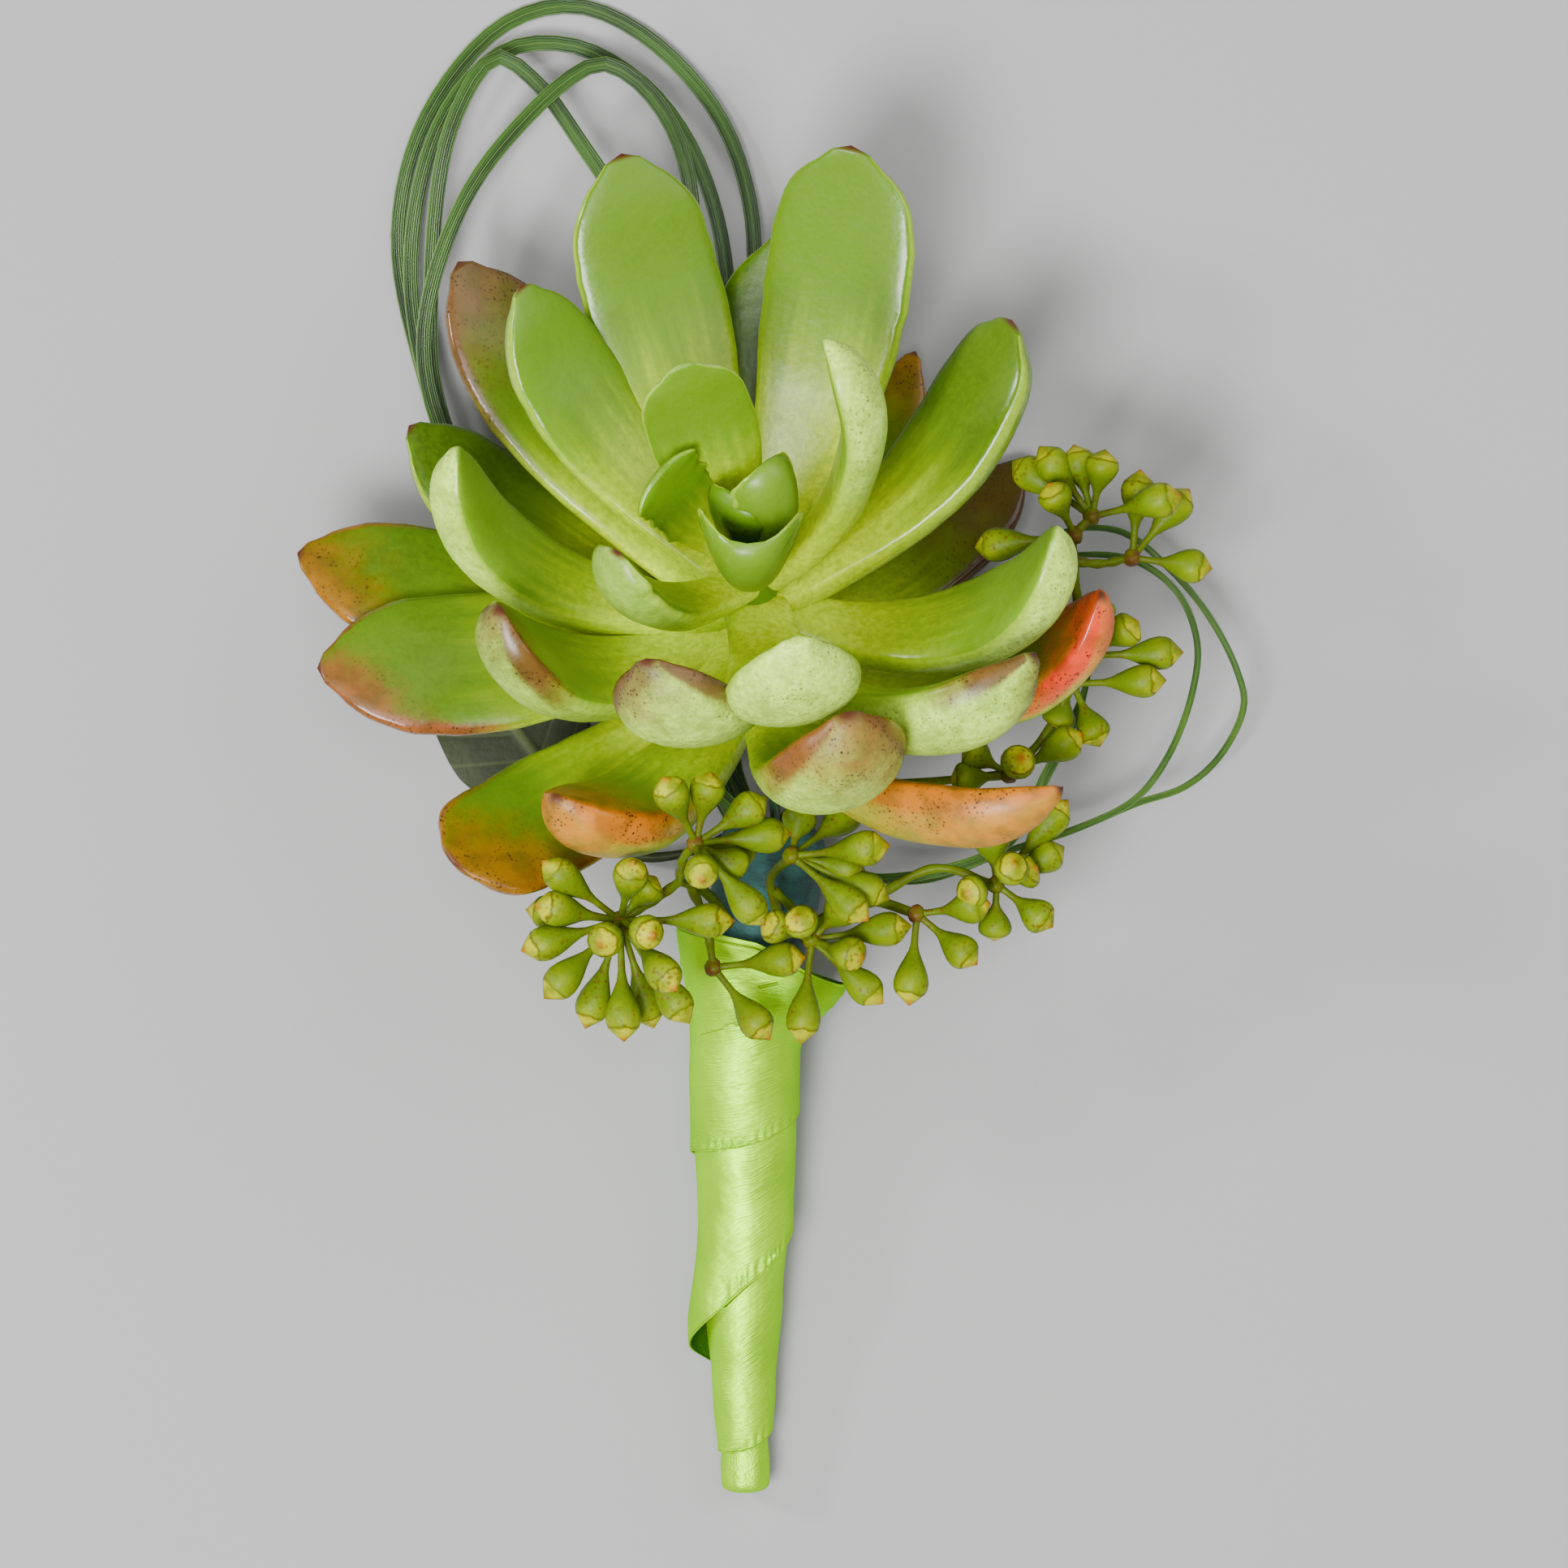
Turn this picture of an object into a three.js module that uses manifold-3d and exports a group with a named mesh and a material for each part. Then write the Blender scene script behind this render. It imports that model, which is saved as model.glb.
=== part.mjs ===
// A succulent boutonniere, lying on its back on a flat surface as a florist lays it down.
//
// A fleshy rosette on a wired stem faces forward above a handle of taped stems wrapped in satin
// ribbon. Sprays of seeded eucalyptus spread below it and to its right, four loops of lily grass
// stand up behind it on the left, finer bear grass curls out on the right, and one broad leaf
// backs the head.
//
// Millimetres. +X is to the right of the flower's face, +Y runs from the handle to the head and
// +Z is up from the surface. The origin is the middle of the footprint, on the surface.
import * as THREE from "three";
import { mergeVertices } from "three/addons/utils/BufferGeometryUtils.js";
import Module from "manifold-3d";

const wasm = await Module();
wasm.setup();

const { degToRad, clamp, lerp, smoothstep } = THREE.MathUtils;
const vec = (x, y, z) => new THREE.Vector3(x, y, z);
const UP = vec(0, 0, 1);
const RIGHT = vec(1, 0, 0);

// ---------------------------------------------------------------- driving dimensions
const CLEARANCE = 0.3; // between two pieces that lie against each other

// Rosette: its growing tip, and the direction in which the plant grew.
const ROSETTE_TIP = vec(-2.1, 18.5, 26);
const ROSETTE_LEAN = degToRad(42); // of the plant's axis, from +Z towards +Y
const ROSETTE_AXIS = vec(0, Math.sin(ROSETTE_LEAN), Math.cos(ROSETTE_LEAN));
const ROSETTE_STEM_LENGTH = 18;
const ROSETTE_STEM_RADIUS = 3.2;

// Handle: the line up the middle of the bound stems, from the cut ends to the head.
const HANDLE_LINE = new THREE.CatmullRomCurve3(
  [
    vec(-2.9, -74.8, 3.2),
    vec(-3.1, -60, 4),
    vec(-3.0, -45, 5.6),
    vec(-3.0, -30, 7.6),
    vec(-2.4, -22, 8.8),
    vec(-0.9, -14, 9.6),
    vec(0.2, -7, 9.8),
  ],
  false,
  "centripetal",
);
const TAPE_START = 0.02; // share of the handle line that is ribbon alone
const RIBBON_TOP = 0.83; // share of the handle line where the ribbon ends
const RIBBON_THICKNESS = 0.8; // of the wound satin, a few layers thick
const RIBBON_LIP = 0.75; // how far a turn's lower edge stands off the turn below
const RIBBON_STEP = 0.25; // how far its upper edge stands off the sleeve
const RIBBON_TURN_HEIGHT = 12;
const WIRE_RADIUS = 0.5;

// Rings round the handle line where stems are bound in.
const INNER_RING = 1.9;
const OUTER_RING = 4.0;

// Seeded eucalyptus.
const BUD_RADIUS = 1.9;
const PEDICEL_RADIUS = 0.42;
const STEM_RADIUS = 0.6;
const KNOT_RADIUS = 0.95;

// Grass blades: widest in the plane of the loop, and depth.
const LILY_BLADE = { width: 1.3, depth: 0.8 };
const BEAR_BLADE = { width: 0.7, depth: 0.62 };

// ---------------------------------------------------------------- solids
// A closed geometry as a solid that can be joined and cut.
function solidOf(geometry) {
  const bare = geometry.clone();
  for (const name of Object.keys(bare.attributes)) {
    if (name !== "position") bare.deleteAttribute(name);
  }
  const merged = mergeVertices(bare, 1e-4);
  return new wasm.Manifold(
    new wasm.Mesh({
      numProp: 3,
      vertProperties: new Float32Array(merged.attributes.position.array),
      triVerts: new Uint32Array(merged.index.array),
    }),
  );
}

function geometryOf(solid) {
  const { vertProperties, triVerts } = solid.getMesh();
  const geometry = new THREE.BufferGeometry();
  geometry.setAttribute("position", new THREE.BufferAttribute(vertProperties, 3));
  geometry.setIndex(new THREE.BufferAttribute(triVerts, 1));
  geometry.computeVertexNormals();
  return geometry;
}

const joined = (geometries) => wasm.Manifold.union(geometries.map(solidOf));

// A ball whose rings are moved on to stations along a body: place(angle, t, atPole) is the point
// at that angle round the section, t of the way from root to tip. The tip is a point unless the
// body is blunt, and then its last ring is closed flat, as its root is.
function sweptBody(sides, stations, place, blunt = false) {
  const rows = stations + (blunt ? 2 : 1);
  const ball = new THREE.SphereGeometry(1, sides, rows);
  const { position, uv } = ball.attributes;
  for (let i = 0; i < position.count; i++) {
    const row = uv.getY(i) * rows;
    const t = clamp((row - 1) / stations, 0, 1);
    const atPole = row < 0.5 || row > rows - 0.5;
    const point = place(uv.getX(i) * 2 * Math.PI, t, atPole);
    position.setXYZ(i, point.x, point.y, point.z);
  }
  return ball;
}

// A body along a curve. section(angle, t) gives how far the skin stands off the line there, as
// [across, up]; across runs level, to the right of a body that grows towards +Y.
function sweptAlong(curve, sides, stations, section, [from, to] = [0, 1]) {
  const chord = curve.getPoint(1).sub(curve.getPoint(0)).normalize();
  const hint = Math.abs(chord.z) < 0.85 ? UP : RIGHT;
  const place = (angle, t, atPole) => {
    const share = lerp(from, to, t);
    const point = curve.getPointAt(share);
    if (atPole) return point;
    const along = curve.getTangentAt(share);
    const across = along.clone().cross(hint).normalize();
    const up = across.clone().cross(along);
    const [out, lift] = section(angle, t);
    return point.addScaledVector(across, out).addScaledVector(up, lift);
  };
  return sweptBody(sides, stations, place, true);
}

// Section of an oval body whose half-width and half-depth change along it.
const oval = (halfWidth, halfDepth) => (angle, t) => [
  -Math.cos(angle) * halfWidth(t),
  Math.sin(angle) * halfDepth(t),
];

const round = (radius) => oval(radius, radius);

function routeThrough(points) {
  const stops = points.map((point) => (point.isVector3 ? point : vec(...point)));
  const route = new THREE.CatmullRomCurve3(stops, false, "centripetal");
  route.arcLengthDivisions = 400;
  return route;
}

// Values given at stops along a body, blended smoothly between them.
function profile(stops) {
  return (t) => {
    const next = stops.findIndex(([stop]) => t <= stop);
    if (next < 0) return stops[stops.length - 1][1];
    if (next === 0) return stops[0][1];
    const [from, before] = stops[next - 1];
    const [to, after] = stops[next];
    return lerp(before, after, smoothstep(t, from, to));
  };
}

// ---------------------------------------------------------------- succulent rosette
const LEAF_SIDES = 8;
const LEAF_STATIONS = 7;
const LEAF_WIDEST = 0.68; // where the blade is widest, from root to tip
const LEAF_ROOT_SHARE = 0.5; // width at the root, as a share of the widest

// Half-width of the blade at t, for a widest half-width of 1. It ends in a small point, or is
// blunt with more of its width kept to the end.
function bladeOutline(t, blunt) {
  if (t < LEAF_WIDEST) {
    return lerp(LEAF_ROOT_SHARE, 1, smoothstep(t, 0.1, LEAF_WIDEST));
  }
  const fall = (t - LEAF_WIDEST) / (1 - LEAF_WIDEST);
  return (1 - fall ** (2.5 + 4 * blunt)) ** 0.6;
}

// Thickness of the blade at t, for a greatest thickness of 1: plump to near the tip.
function bladeThickness(t) {
  if (t < LEAF_WIDEST) return lerp(0.75, 1, t / LEAF_WIDEST);
  const fall = (t - LEAF_WIDEST) / (1 - LEAF_WIDEST);
  return (1 - fall ** 2.6) ** 0.55;
}

// A fleshy leaf: its midrib is an arc that curls by `bend` degrees towards the plant's axis, its
// upper face is nearly flat or cupped, its underside is full and rounded, and its edges stand up
// by `fold`.
function succulentLeaf(shape) {
  const { tip, back, width, thick, bend = 80, roll = 0, cup = 0.1, fold = 0, blunt = 0 } = shape;
  const root = ROSETTE_TIP.clone().addScaledVector(ROSETTE_AXIS, -back);
  const chord = vec(...tip).sub(root);
  const along = chord.clone().normalize();
  const face = ROSETTE_AXIS.clone().addScaledVector(along, -ROSETTE_AXIS.dot(along)).normalize();
  face.applyAxisAngle(along, degToRad(roll));
  const side = along.clone().cross(face);
  const curl = degToRad(bend);
  const radius = chord.length() / (2 * Math.sin(curl / 2));
  return sweptBody(LEAF_SIDES, LEAF_STATIONS, (angle, step, atPole) => {
    const t = 1 - (1 - step) ** 1.35;
    const turn = curl * (t - 0.5);
    const point = root
      .clone()
      .addScaledVector(along, radius * (Math.sin(turn) + Math.sin(curl / 2)))
      .addScaledVector(face, radius * (Math.cos(curl / 2) - Math.cos(turn)));
    if (atPole) return point;
    const up = along.clone().multiplyScalar(-Math.sin(turn)).addScaledVector(face, Math.cos(turn));
    const across = -Math.cos(angle);
    const rise = Math.sin(angle);
    const depth = thick * bladeThickness(t);
    const skin = rise > 0 ? depth * (0.3 * rise - cup * (1 - across ** 2)) : 0.7 * depth * rise;
    const edge = bladeOutline(t, blunt) * across;
    return point
      .addScaledVector(side, (width / 2) * edge)
      .addScaledVector(up, skin + fold * Math.abs(edge) ** 2.5);
  });
}

// Every leaf of the rosette, youngest last. tip is where its point lies, back is how far behind
// the growing tip it leaves the stem, and width and thick are of its fullest part.
const ROSETTE_LEAVES = [
  // oldest, spread wide
  { tip: [13.9, 39.4, 2.2], back: 12, width: 8, thick: 4.5, bend: 45 },
  { tip: [24.5, 28.5, 3.3], back: 12, width: 10.5, thick: 5, bend: 55 },
  { tip: [-30.9, -10.7, 29], back: 13, width: 13.4, thick: 5, bend: 62, roll: -12, blunt: 0.8 },
  { tip: [-46.5, 19.3, 16], back: 12, width: 14, thick: 5, bend: 32, roll: -15 },
  { tip: [1.1, 50.6, 15], back: 9, width: 14, thick: 5, bend: 35 },
  { tip: [-35.7, 31.6, 15], back: 10, width: 13, thick: 4.5, bend: 50 },
  { tip: [27.3, -4, 36], back: 12.5, width: 9, thick: 6.4, bend: 80, roll: -52 },
  { tip: [-20.8, -4.8, 36], back: 12, width: 12, thick: 7.4, bend: 98, roll: 14 },
  { tip: [-44.2, 8, 22], back: 10, width: 15, thick: 5.5, bend: 26, roll: -22 },
  { tip: [31.6, 14.7, 30], back: 12, width: 11, thick: 6, bend: 112 },
  { tip: [-30.9, 47.7, 16], back: 8, width: 14, thick: 5.5, bend: 40 },
  { tip: [6.8, 3, 47], back: 9, width: 14.5, thick: 8, bend: 112 },
  { tip: [-26.2, 13.2, 38], back: 8, width: 12, thick: 7, bend: 104 },
  { tip: [24.6, 8.8, 40], back: 7, width: 12, thick: 7.4, bend: 90, roll: -42 },
  { tip: [-11.9, 8, 48], back: 7.5, width: 13, thick: 6.6, bend: 88, roll: 22 },
  // full-grown, half open
  { tip: [-14.9, 57.8, 23], back: 5.5, width: 14.5, thick: 5.5, bend: 40, blunt: 0.25 },
  { tip: [7.5, 58.4, 26], back: 4.5, width: 16, thick: 5.5, bend: 40, roll: -14, blunt: 0.35 },
  { tip: [23, 41.4, 25], back: 5.5, width: 12.8, thick: 6, bend: 60, roll: -14, blunt: 0.6 },
  { tip: [-24.5, 44.7, 28], back: 4, width: 12, thick: 5.5, bend: 50 },
  { tip: [27.2, 20.6, 37], back: 5, width: 11.5, thick: 6.5, bend: 112 },
  { tip: [-30.8, 28.6, 32], back: 5, width: 10, thick: 6.5, bend: 120 },
  { tip: [2.3, 10, 53], back: 4.5, width: 13.5, thick: 5.8, bend: 92 },
  // young, round the heart
  { tip: [4.9, 38.6, 42], back: 2, width: 9, thick: 5, bend: 85, roll: -35 },
  { tip: [-8.8, 36.4, 40], back: 1.5, width: 11, thick: 3.5, bend: 30, roll: -45, blunt: 0.3 },
  { tip: [-14.8, 18.8, 45], back: 2, width: 8.5, thick: 4.5, bend: 75, blunt: 0.5 },
  { tip: [-11, 26.4, 37], back: 0.5, width: 8, thick: 2.6, bend: 50, roll: -60, blunt: 1 },
  { tip: [-0.6, 27.8, 38], back: 0.5, width: 7.5, thick: 2.6, bend: 60, roll: -8, fold: 2, blunt: 0.8 },
  { tip: [-4, 24.6, 36], back: 0.2, width: 7.5, thick: 2.2, bend: 30, fold: 1, blunt: 0.6 },
  { tip: [-2.6, 19.5, 42], back: 0.5, width: 9.8, thick: 3.2, bend: 40, cup: 0.2, fold: 4.8, blunt: 1 },
];

function rosetteStem() {
  const bottom = ROSETTE_TIP.clone().addScaledVector(ROSETTE_AXIS, -ROSETTE_STEM_LENGTH);
  const stem = new THREE.LineCurve3(bottom, ROSETTE_TIP);
  const girth = profile([[0, ROSETTE_STEM_RADIUS], [1, ROSETTE_STEM_RADIUS * 0.7]]);
  return sweptAlong(stem, 12, 3, round(girth));
}

// ---------------------------------------------------------------- bound stems
// Half-width of the taped bundle up the handle line: slim at the cut ends, widest where the
// stems fan out under the head.
const tapeGirth = profile([
  [0, 1.3],
  [0.05, 1.45],
  [0.17, 1.9],
  [0.29, 2.5],
  [0.41, 3.0],
  [0.53, 3.5],
  [0.65, 3.9],
  [0.77, 4.7],
  [0.88, 5.4],
  [0.96, 5.3],
  [1, 4.6],
]);

function tapedBundle() {
  const girth = (t) => tapeGirth(lerp(TAPE_START, 1, t));
  return sweptAlong(HANDLE_LINE, 14, 9, round(girth), [TAPE_START, 1]);
}

// A point beside the handle line, a share of the way up it; 0 degrees is to the right of the
// line and 90 in front of it.
function besideHandle(share, degrees, distance) {
  const turn = degToRad(degrees);
  return HANDLE_LINE.getPointAt(share).add(
    vec(Math.cos(turn) * distance, 0, Math.sin(turn) * distance),
  );
}

// The bound end of a spray's stem, near the middle of the bundle.
const boundStem = (degrees) =>
  [0.46, 0.58, 0.7].map((share) => besideHandle(share, degrees, INNER_RING));

// The bound end of a blade or leafstalk, tucked in round the outside of the bundle: a blade that
// stands up leaves the bundle at its top, and one that goes out to the side leaves it lower down.
const AT_TOP = [0.885, 0.935, 0.985];
const AT_SIDE = [0.85, 0.885, 0.92];
const boundBlade = (degrees, shares) =>
  shares.map((share) => besideHandle(share, degrees, OUTER_RING));

// ---------------------------------------------------------------- ribbon
// Height of the wound ribbon's lower edge above the cut ends, at each quarter turn round the
// handle. It winds upwards from the left, across the front, to the right and round the back.
const RIBBON_EDGE = [4.2, 4.5, 6.6, 10.6, 14.8, 21.4, 27, 31.2, 34.7, 36, 38.8, 42, 45.4];
const RIBBON_TURNS = (RIBBON_EDGE.length - 1) / 4;
const ribbonEdge = new THREE.CatmullRomCurve3(
  RIBBON_EDGE.map((height, quarter) => vec(quarter, height, 0)),
);

// How far the loose last turn flares out on the right, and how much lower its edge is there.
const RIBBON_FLARE = 3.6;
const RIBBON_SLANT = 0.055;
const rightShare = (angle) => Math.max(0, -Math.cos(angle)) ** 1.5;

function ribbonSkin(offset, [from, to]) {
  const place = (angle, t, atPole) => {
    const slant = RIBBON_SLANT * smoothstep(t, 0.7, 1) * (atPole ? 0.5 : rightShare(angle));
    const share = lerp(from, to, t) - slant;
    const point = HANDLE_LINE.getPointAt(clamp(share, 0, 1));
    if (atPole) return point;
    const flare = RIBBON_FLARE * smoothstep(t, 0.84, 1) * rightShare(angle);
    const radius = tapeGirth(share) + offset + flare;
    const along = HANDLE_LINE.getTangentAt(share);
    const across = along.clone().cross(UP).normalize();
    const up = across.clone().cross(along);
    return point
      .addScaledVector(across, -Math.cos(angle) * radius)
      .addScaledVector(up, Math.sin(angle) * radius);
  };
  return sweptBody(14, 9, place, true);
}

// The wound turns, as one wedge-shaped band that runs round and up the sleeve: each turn's lower
// edge stands off, and its upper edge ends just under the next turn's.
function ribbonBand() {
  const band = new THREE.BoxGeometry(1, 1, 1, 2, 1, 36);
  const { position } = band.attributes;
  const length = HANDLE_LINE.getLength();
  for (let i = 0; i < position.count; i++) {
    const rise = position.getX(i) + 0.5;
    const outside = position.getY(i) > 0;
    const wound = position.getZ(i) + 0.5;
    const edge = ribbonEdge.getPoint(wound).y;
    const nextTurn = wound + 1 / RIBBON_TURNS;
    const room = nextTurn > 1 ? Infinity : ribbonEdge.getPoint(nextTurn).y - edge - CLEARANCE;
    const share = (edge + rise * Math.min(RIBBON_TURN_HEIGHT, room)) / length;
    const lip = RIBBON_THICKNESS + (outside ? lerp(RIBBON_LIP, RIBBON_STEP, rise) : -0.35);
    const radius = tapeGirth(share) + CLEARANCE + lip;
    const turn = wound * RIBBON_TURNS * 2 * Math.PI;
    const along = HANDLE_LINE.getTangentAt(share);
    const across = along.clone().cross(UP).normalize();
    const up = across.clone().cross(along);
    const point = HANDLE_LINE.getPointAt(share)
      .addScaledVector(across, -Math.cos(turn) * radius)
      .addScaledVector(up, Math.sin(turn) * radius);
    position.setXYZ(i, point.x, point.y, point.z);
  }
  return band;
}

function woundRibbon() {
  const outside = ribbonSkin(CLEARANCE + RIBBON_THICKNESS, [0, RIBBON_TOP]);
  const inside = ribbonSkin(CLEARANCE, [TAPE_START - 0.005, RIBBON_TOP + 0.01]);
  return joined([outside, ribbonBand()]).subtract(solidOf(inside));
}

// ---------------------------------------------------------------- seeded eucalyptus
// Radius of a seed bud up its length, from its slim stalk to its cup and pointed cap.
const BUD_STOPS = [0, 0.42, 0.66, 0.86, 1];
const BUD_RADII = [PEDICEL_RADIUS, PEDICEL_RADIUS * 1.3, BUD_RADIUS, BUD_RADIUS * 0.8, 0];

function bud(hub, { turn, lift = 5, reach }) {
  const heading = degToRad(turn);
  const climb = degToRad(lift);
  const direction = vec(
    Math.cos(heading) * Math.cos(climb),
    Math.sin(heading) * Math.cos(climb),
    Math.sin(climb),
  );
  const cupLength = Math.min(0.62 * reach, 6.2);
  const stalk = new THREE.LineCurve3(hub, hub.clone().addScaledVector(direction, reach));
  const last = BUD_STOPS.length - 1;
  return sweptBody(5, last, (angle, t, atPole) => {
    const stop = Math.round(t * last);
    const along = BUD_STOPS[stop];
    const cup = reach - cupLength + ((along - 0.42) / 0.58) * cupLength;
    const distance = stop < 2 ? (along / 0.42) * (reach - cupLength) : cup;
    const point = stalk.getPoint(distance / reach);
    if (atPole) return point;
    const hint = Math.abs(direction.z) < 0.85 ? UP : RIGHT;
    const across = direction.clone().cross(hint).normalize();
    const up = across.clone().cross(direction);
    return point
      .addScaledVector(across, -Math.cos(angle) * BUD_RADII[stop])
      .addScaledVector(up, Math.sin(angle) * BUD_RADII[stop]);
  });
}

// A knot of the stem with the buds that spread from it.
function umbel({ at, buds }) {
  const hub = vec(...at);
  const knot = new THREE.IcosahedronGeometry(KNOT_RADIUS, 0).translate(hub.x, hub.y, hub.z);
  return [knot, ...buds.map((each) => bud(hub, each))];
}

const stem = (points, radius = STEM_RADIUS, stations = 2 * points.length - 2, range = [0, 1]) =>
  sweptAlong(routeThrough(points), 5, stations, round((t) => radius * lerp(1, 0.8, t)), range);

// Each spray: where its stem is bound in, the way it takes to its first knot, its side stems,
// and its umbels. A bud's turn is its heading, 0 to the right and 90 up towards the head.
const SPRAYS = {
  eucalyptus_spray_left: {
    bound: 140,
    route: [[-3.7, -19.6, 11.4], [-4.9, -16.4, 15], [-7, -14, 20], [-9.3, -13, 26]],
    side: [
      [[-9.3, -13, 26], [-8.9, -10.8, 30.4], [-7.6, -9.2, 34]],
      [[-9.3, -13, 26], [-12, -15, 27], [-15.1, -16.8, 27.6]],
      [[-8.4, -13.3, 23], [-6.9, -16.6, 21], [-6, -21.6, 19.4]],
    ],
    umbels: [
      {
        at: [-7.6, -9.2, 34],
        buds: [
          { turn: 116, lift: 34, reach: 8.6 },
          { turn: 78, lift: 16, reach: 7.4 },
          { turn: 33, lift: -2, reach: 8.2 },
          { turn: 6, lift: -18, reach: 9.8 },
          { turn: -78, lift: 60, reach: 7.4 },
          { turn: -50, lift: -10, reach: 10.6 },
          { turn: -29, lift: -36, reach: 6.8 },
          { turn: -8, lift: -52, reach: 9 },
        ],
      },
      {
        at: [-15.1, -16.8, 27.6],
        buds: [
          { turn: 142, lift: 20, reach: 10.2 },
          { turn: 169, lift: 24, reach: 9.2 },
          { turn: 174, lift: -20, reach: 10 },
          { turn: 197, lift: 6, reach: 10.2 },
          { turn: 226, lift: 10, reach: 10.8 },
          { turn: 252, lift: -4, reach: 11.2 },
          { turn: 272, lift: 9, reach: 12 },
          { turn: 287, lift: -16, reach: 11.6 },
          { turn: 304, lift: 2, reach: 12.2 },
          { turn: 310, lift: 34, reach: 10.6 },
          { turn: 233, lift: 68, reach: 8 },
          { turn: 338, lift: 60, reach: 7.6 },
          { turn: 76, lift: 46, reach: 8.8 },
          { turn: 50, lift: 4, reach: 5.6 },
          { turn: 0, lift: 10, reach: 11.4 },
        ],
      },
      {
        at: [-6, -21.6, 19.4],
        buds: [
          { turn: 7, lift: 12, reach: 9.4 },
          { turn: -52, lift: 5, reach: 9.1 },
        ],
      },
    ],
  },
  eucalyptus_spray_middle: {
    bound: 62,
    route: [[-0.9, -19.6, 12.2], [0.2, -16.2, 15.6], [-0.4, -12.8, 20.6], [1.7, -10.5, 26]],
    side: [[[0, -14, 18.4], [2.2, -16.2, 20], [3.7, -18.8, 21]]],
    umbels: [
      {
        at: [1.7, -10.5, 26],
        buds: [
          { turn: 6, lift: 14, reach: 10 },
          { turn: -40, lift: 10, reach: 10 },
          { turn: -12, lift: -12, reach: 7.6 },
          { turn: -24, lift: -6, reach: 10.6 },
          { turn: 36, lift: -38, reach: 10.6 },
          { turn: 78, lift: -30, reach: 5.6 },
        ],
      },
      {
        at: [3.7, -18.8, 21],
        buds: [
          { turn: 264, lift: 4, reach: 10.4 },
          { turn: -20, lift: 40, reach: 7 },
          { turn: -42, lift: 6, reach: 9.5 },
          { turn: 8, lift: 6, reach: 10 },
          { turn: 160, lift: 30, reach: 6 },
          { turn: 120, lift: 60, reach: 5.6 },
          { turn: 46, lift: 12, reach: 5.4 },
        ],
      },
    ],
  },
  eucalyptus_spray_lower: {
    bound: -12,
    route: [[2.2, -19.4, 11], [5.2, -16.6, 13.4], [9.4, -15, 17.4], [14.1, -16.3, 20]],
    side: [[[9.4, -15, 17.4], [16, -11.8, 17.6], [22, -13.4, 19]]],
    umbels: [
      {
        at: [14.1, -16.3, 20],
        buds: [
          { turn: 265, lift: 4, reach: 9.1 },
          { turn: -40, lift: 4, reach: 7.8 },
          { turn: 8, lift: 12, reach: 7.5 },
        ],
      },
      {
        at: [22, -13.4, 19],
        buds: [
          { turn: -37, lift: 3, reach: 7 },
          { turn: 268, lift: -14, reach: 5.8 },
          { turn: 196, lift: 50, reach: 5.4 },
          { turn: 50, lift: 64, reach: 6.4 },
          { turn: 24, lift: 24, reach: 4.8 },
          { turn: 29, lift: -8, reach: 7.8 },
          { turn: 96, lift: -4, reach: 5.4 },
          { turn: 50, lift: 0, reach: 11 },
        ],
      },
    ],
  },
  eucalyptus_spray_right: {
    bound: 272,
    route: [
      [-0.8, -14, 7.7],
      [0.5, -7.4, 7.6],
      [5, -3.8, 8.8],
      [13, -3.4, 13],
      [23.3, -2.5, 18.6],
    ],
    side: [
      [[23.3, -2.5, 18.6], [27, 1.6, 17.4], [29.6, 6.5, 17.6], [31.2, 9.3, 17.6]],
      [[31.2, 9.3, 17.6], [30.2, 14, 17], [29.7, 18.6, 18.4], [29.7, 21.1, 20.6], [31.4, 23, 20]],
      [[29.7, 18.6, 18.4], [32.4, 18.4, 17.4], [35.5, 19, 17]],
    ],
    umbels: [
      {
        at: [23.3, -2.5, 18.6],
        buds: [
          { turn: 29, lift: 4, reach: 8.4 },
          { turn: 60, lift: 72, reach: 6 },
          { turn: 150, lift: -4, reach: 5.4 },
          { turn: 186, lift: 0, reach: 6 },
        ],
      },
      {
        at: [29.6, 6.5, 17.6],
        buds: [
          { turn: 2, lift: 8, reach: 9.3 },
          { turn: -67, lift: 4, reach: 6.8 },
          { turn: 248, lift: -12, reach: 5 },
        ],
      },
      {
        at: [31.2, 9.3, 17.6],
        buds: [
          { turn: 35, lift: 24, reach: 6.4 },
          { turn: 2, lift: -4, reach: 9.4 },
          { turn: 78, lift: -4, reach: 6.2 },
        ],
      },
      {
        at: [31.4, 23, 20],
        buds: [
          { turn: 79, lift: 8, reach: 6.8 },
          { turn: 127, lift: 0, reach: 8.7 },
          { turn: 144, lift: -22, reach: 10.4 },
          { turn: 104, lift: -6, reach: 7.4 },
          { turn: 13, lift: 16, reach: 9.4 },
        ],
      },
      {
        at: [29.7, 21.1, 20.6],
        buds: [
          { turn: 118, lift: 26, reach: 6.4 },
          { turn: 186, lift: -24, reach: 10.8 },
        ],
      },
      {
        at: [35.5, 19, 17],
        buds: [
          { turn: 85, lift: 4, reach: 8.8 },
          { turn: 50, lift: -6, reach: 9 },
          { turn: -8, lift: 5, reach: 8 },
        ],
      },
    ],
  },
};

function spray({ bound, route, side, umbels }) {
  const main = [...boundStem(bound), ...route];
  return {
    solid: joined([
      stem(main, STEM_RADIUS, 2 * main.length - 2, [0.02, 1]),
      ...side.map((points) => stem(points, STEM_RADIUS * 0.85)),
      ...umbels.flatMap(umbel),
    ]),
    socket: solidOf(stem(main, STEM_RADIUS + CLEARANCE)),
  };
}

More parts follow.
